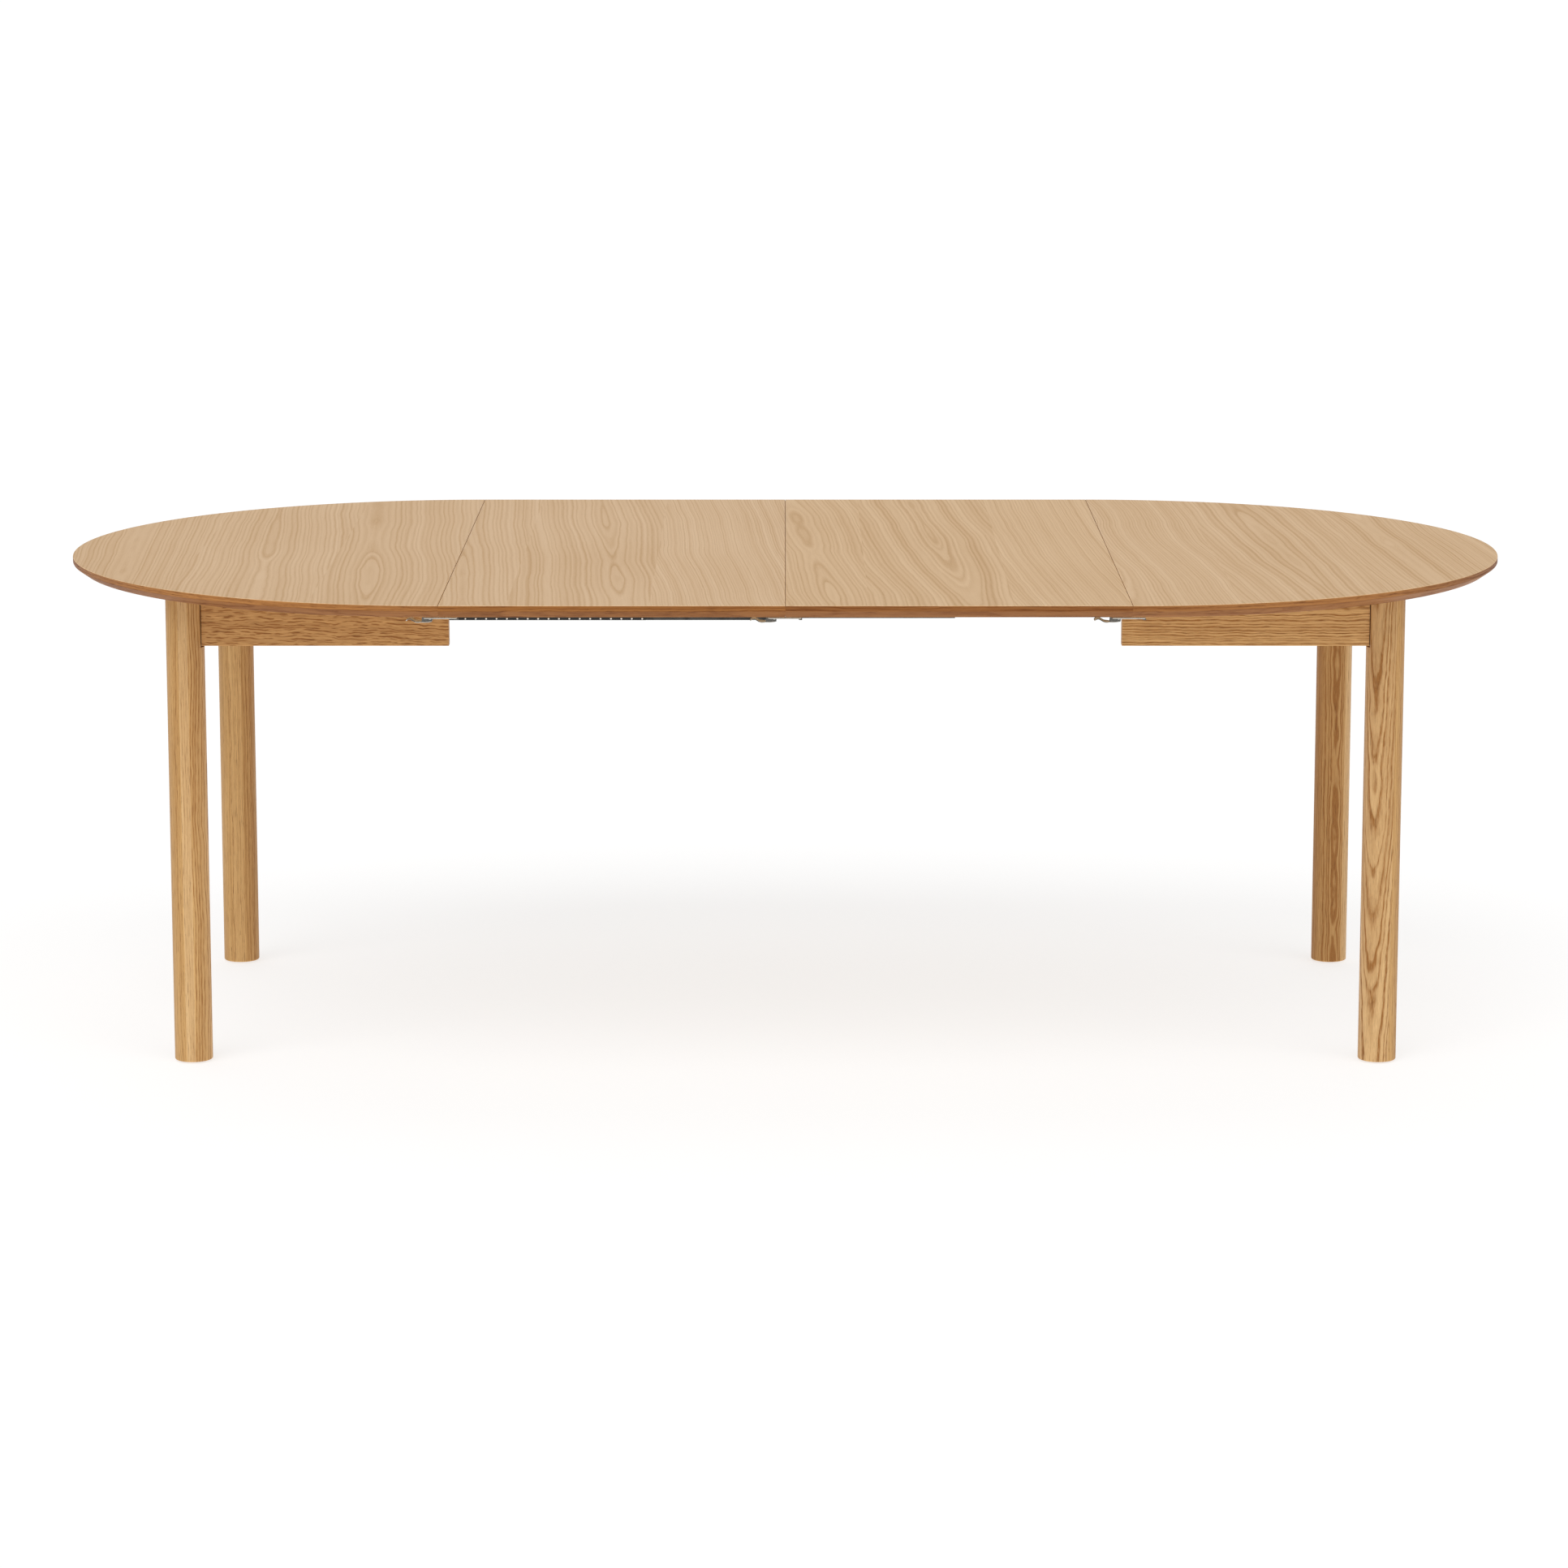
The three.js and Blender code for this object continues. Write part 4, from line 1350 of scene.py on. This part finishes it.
def latch_base():
    foot = PLATE_BOTTOM + 0.4
    ear = [(LEVER_PIN[0] + 7, foot), *arc(LEVER_PIN, EAR_ROUND, 0, -180, 12), (LEVER_PIN[0] - 7, foot)]
    form = drawn(round_box(*BASE_PLATE, 3), PLATE_BOTTOM, PLATE_TOP, "Z")
    form.join(both_sides(ear, EAR_INNER, EAR_OUTER))
    end = EAR_OUTER + 0.2
    return form.join(lathe([(1.5, -end), (1.5, end)], 18, "Y", (LEVER_PIN[0], 0, LEVER_PIN[1])))


# the lever's strip, as points in its side view
LEVER_LINE = [(-51, -13.8), (-48, -11.2), (-44.5, -11), (-40.5, -13.2), (-36, -15.4), (-29, -15.8),
              (-21, -15.8), (-14, -14.8)]


def smooth_line(points, steps):
    """A Catmull-Rom curve through the points."""
    line = []
    for i in range(len(points) - 1):
        p = [Vector(points[min(max(i + k, 0), len(points) - 1)]) for k in (-1, 0, 1, 2)]
        for k in range(steps):
            t = k / steps
            line.append(0.5 * (
                2 * p[1] + (p[2] - p[0]) * t + (2 * p[0] - 5 * p[1] + 4 * p[2] - p[3]) * t * t
                + (3 * p[1] - p[0] - 3 * p[2] + p[3]) * t ** 3
            ))
    line.append(Vector(points[-1]))
    return line


def lever_half_width(x):
    """Narrow between the ears, wide at the thumb tab, rounded at its tip."""
    if x > -29:
        return CHEEK_OUTER
    if x > -34:
        share = (-29 - x) / 5
        return CHEEK_OUTER + (TAB_HALF_WIDTH - CHEEK_OUTER) * (3 * share ** 2 - 2 * share ** 3)
    if x > -46:
        return TAB_HALF_WIDTH
    return TAB_HALF_WIDTH - 4.5 * (1 - math.sqrt(max(0.0, 1 - ((-46 - x) / 5.4) ** 2)))


def latch_lever():
    line = smooth_line(LEVER_LINE, 5)
    rings = []
    half = LEVER_SHEET / 2
    for i, here in enumerate(line):
        along = (line[min(i + 1, len(line) - 1)] - line[max(i - 1, 0)]).normalized()
        up = Vector((-along.y, along.x))
        width = lever_half_width(here.x)
        section = round_box(-width, -half, width, half, 0.4, steps=3)
        rings.append([(here.x + up.x * b, a, here.y + up.y * b) for a, b in section])
    cheek = [(-13, CHEEK_FOOT), *arc(LEVER_PIN, 3.2, 0, 90), *arc(BAIL_PIN, 3, 90, 180), (-28.6, -15.7)]
    # a pressed rib stiffens the strip under the pins
    rib = rounded([(-33, -16.2, 0.3), (-17, -16.2, 0.3), (-18, -17.0, 0.5), (-32, -17.0, 0.5)], steps=2)
    form = loft(rings).join(both_sides(cheek, CHEEK_INNER, CHEEK_OUTER))
    return form.join(drawn(rib, -2.2, 2.2, "Y"))


def latch_bail():
    """One closed loop of wire, seen in plan as a rectangle with round corners."""
    x0, x1 = BAIL_PIN[0], CATCH[0]
    slope = (CATCH[1] - BAIL_PIN[1]) / (x1 - x0)
    plan = round_box(x0, -WIRE_Y, x1, WIRE_Y, WIRE_BEND, steps=6)
    path = [(x, y, BAIL_PIN[1] + slope * (x - x0)) for x, y in plan]
    return wire_loop(path, WIRE_RADIUS, 14)


def latch_strike():
    back = CATCH[0] - WIRE_RADIUS - 0.5 - HOOK_SHEET / 2
    lip = CATCH[1] - WIRE_RADIUS - 0.9 - HOOK_SHEET / 2
    line = rounded([(back, PLATE_BOTTOM + 0.6, 0), (back, lip, 1.7), (CATCH[0] + 2.4, lip, 0)],
                   closed=False, steps=5)
    plate = drawn(round_box(*STRIKE_PLATE, 2.5), PLATE_BOTTOM, PLATE_TOP, "Z")
    return plate.join(drawn(sheet_outline(line, HOOK_SHEET), -HOOK_HALF_WIDTH, HOOK_HALF_WIDTH, "Y"))


def make_latches():
    """The lever's cheeks are zinc like the base, and the rest of it is bright."""
    parts = {"base": latch_base(), "lever": latch_lever(), "bail": latch_bail(), "strike": latch_strike()}
    for face_name, face in FACES.items():
        for seam_name, seam in SEAMS.items():
            place = Matrix.Translation((seam, face * LATCH_Y, UNDERSIDE))
            key = f"{face_name}_{seam_name}"
            left_body, right_body = SEAM_BODIES[seam_name]
            bodies = {"base": left_body, "lever": f"lever_{key}",
                      "bail": f"bail_{key}", "strike": right_body}
            for part, form in parts.items():
                node = f"latch_{key}_{part}"
                bevel = 0 if part == "bail" else 0.16
                metals = [NICKEL, ZINC] if part in ("lever", "bail") else [ZINC, NICKEL]
                thing = piece(node + "_part", moved(form, place), metals, bodies[part], "nickel", [node],
                              bevel)
                if part == "lever":
                    for face_of_lever in thing.data.polygons:
                        height = face_of_lever.center.z / MM
                        if abs(face_of_lever.normal.y) > 0.9 and height > UNDERSIDE + CHEEK_FOOT:
                            face_of_lever.material_index = 1
            piece(f"latch_{key}_pin_heads", moved(pin_heads(), place), NICKEL, left_body, "nickel")
            for part, places in LATCH_SCREWS.items():
                make_screws(f"latch_{key}_{part}_screws", [place @ Vector(at) for at in places], "Z",
                            LATCH_SCREW, -1, bodies[part], BRIGHT_FINISH)


make_dowels()
make_slides()
make_cages()
make_brackets()
make_fixing_angles()
make_glides()
make_latches()


# ---------- floor, light and camera ----------

CAMERA_AT = (-0.002, -7.942, 1.825)
CAMERA_DOWN = 10.46       # degrees below level
CAMERA_LENS = 118.5
FLOOR_SIZE = 240
FLOOR_GREY = 0.34
FLOOR_GLOW = 0.70
WORLD_LIGHT = 0.45


def make_floor():
    made = bmesh.new()
    bmesh.ops.create_grid(made, x_segments=2, y_segments=2, size=FLOOR_SIZE / 2)
    floor = in_scene("floor", mesh_of("floor", made))
    n = Nodes("pale_floor")
    n.set(base_color=(FLOOR_GREY, FLOOR_GREY, FLOOR_GREY, 1), roughness=0.9)
    n.shader.inputs["Specular IOR Level"].default_value = 0.1
    n.shader.inputs["Emission Color"].default_value = (1, 1, 1, 1)
    n.shader.inputs["Emission Strength"].default_value = FLOOR_GLOW
    floor.data.materials.append(n.material)


def make_world():
    """A dim white room for the object, and pure white behind it for the camera."""
    world = bpy.data.worlds.new("studio")
    bpy.context.scene.world = world
    world.use_nodes = True
    tree = world.node_tree
    tree.nodes.clear()
    output = tree.nodes.new("ShaderNodeOutputWorld")
    mix = tree.nodes.new("ShaderNodeMixShader")
    path = tree.nodes.new("ShaderNodeLightPath")
    tree.links.new(path.outputs["Is Camera Ray"], mix.inputs["Fac"])
    for strength, socket in ((WORLD_LIGHT, 1), (1.0, 2)):
        background = tree.nodes.new("ShaderNodeBackground")
        background.inputs["Color"].default_value = (1, 1, 1, 1)
        background.inputs["Strength"].default_value = strength
        tree.links.new(background.outputs[0], mix.inputs[socket])
    tree.links.new(mix.outputs[0], output.inputs["Surface"])


# soft lamps as (name, azimuth and elevation of where the light comes from, spread, strength);
# azimuth 0 is the front and 90 the left
LAMPS = [
    ("key", 28, 52, 42, 1.05),
    ("fill", -38, 46, 46, 0.62),
    ("back", 170, 60, 50, 0.40),
]


def make_lamps():
    for name, azimuth, elevation, spread, strength in LAMPS:
        light = bpy.data.lights.new(name, "SUN")
        light.angle = math.radians(spread)
        light.energy = strength
        turn, rise = math.radians(azimuth), math.radians(elevation)
        level = math.cos(rise)
        towards = Vector((-math.sin(turn) * level, -math.cos(turn) * level, math.sin(rise)))
        in_scene(name, light).rotation_euler = towards.to_track_quat("Z", "Y").to_euler()


def make_camera():
    camera = bpy.data.cameras.new("camera")
    camera.lens = CAMERA_LENS
    camera.sensor_width = 36
    camera.clip_end = 1000
    holder = in_scene("camera", camera)
    holder.location = CAMERA_AT
    holder.rotation_euler = (math.radians(90 - CAMERA_DOWN), 0, 0)
    bpy.context.scene.camera = holder


make_floor()
make_world()
make_lamps()
make_camera()
bpy.context.scene.view_settings.view_transform = "Standard"
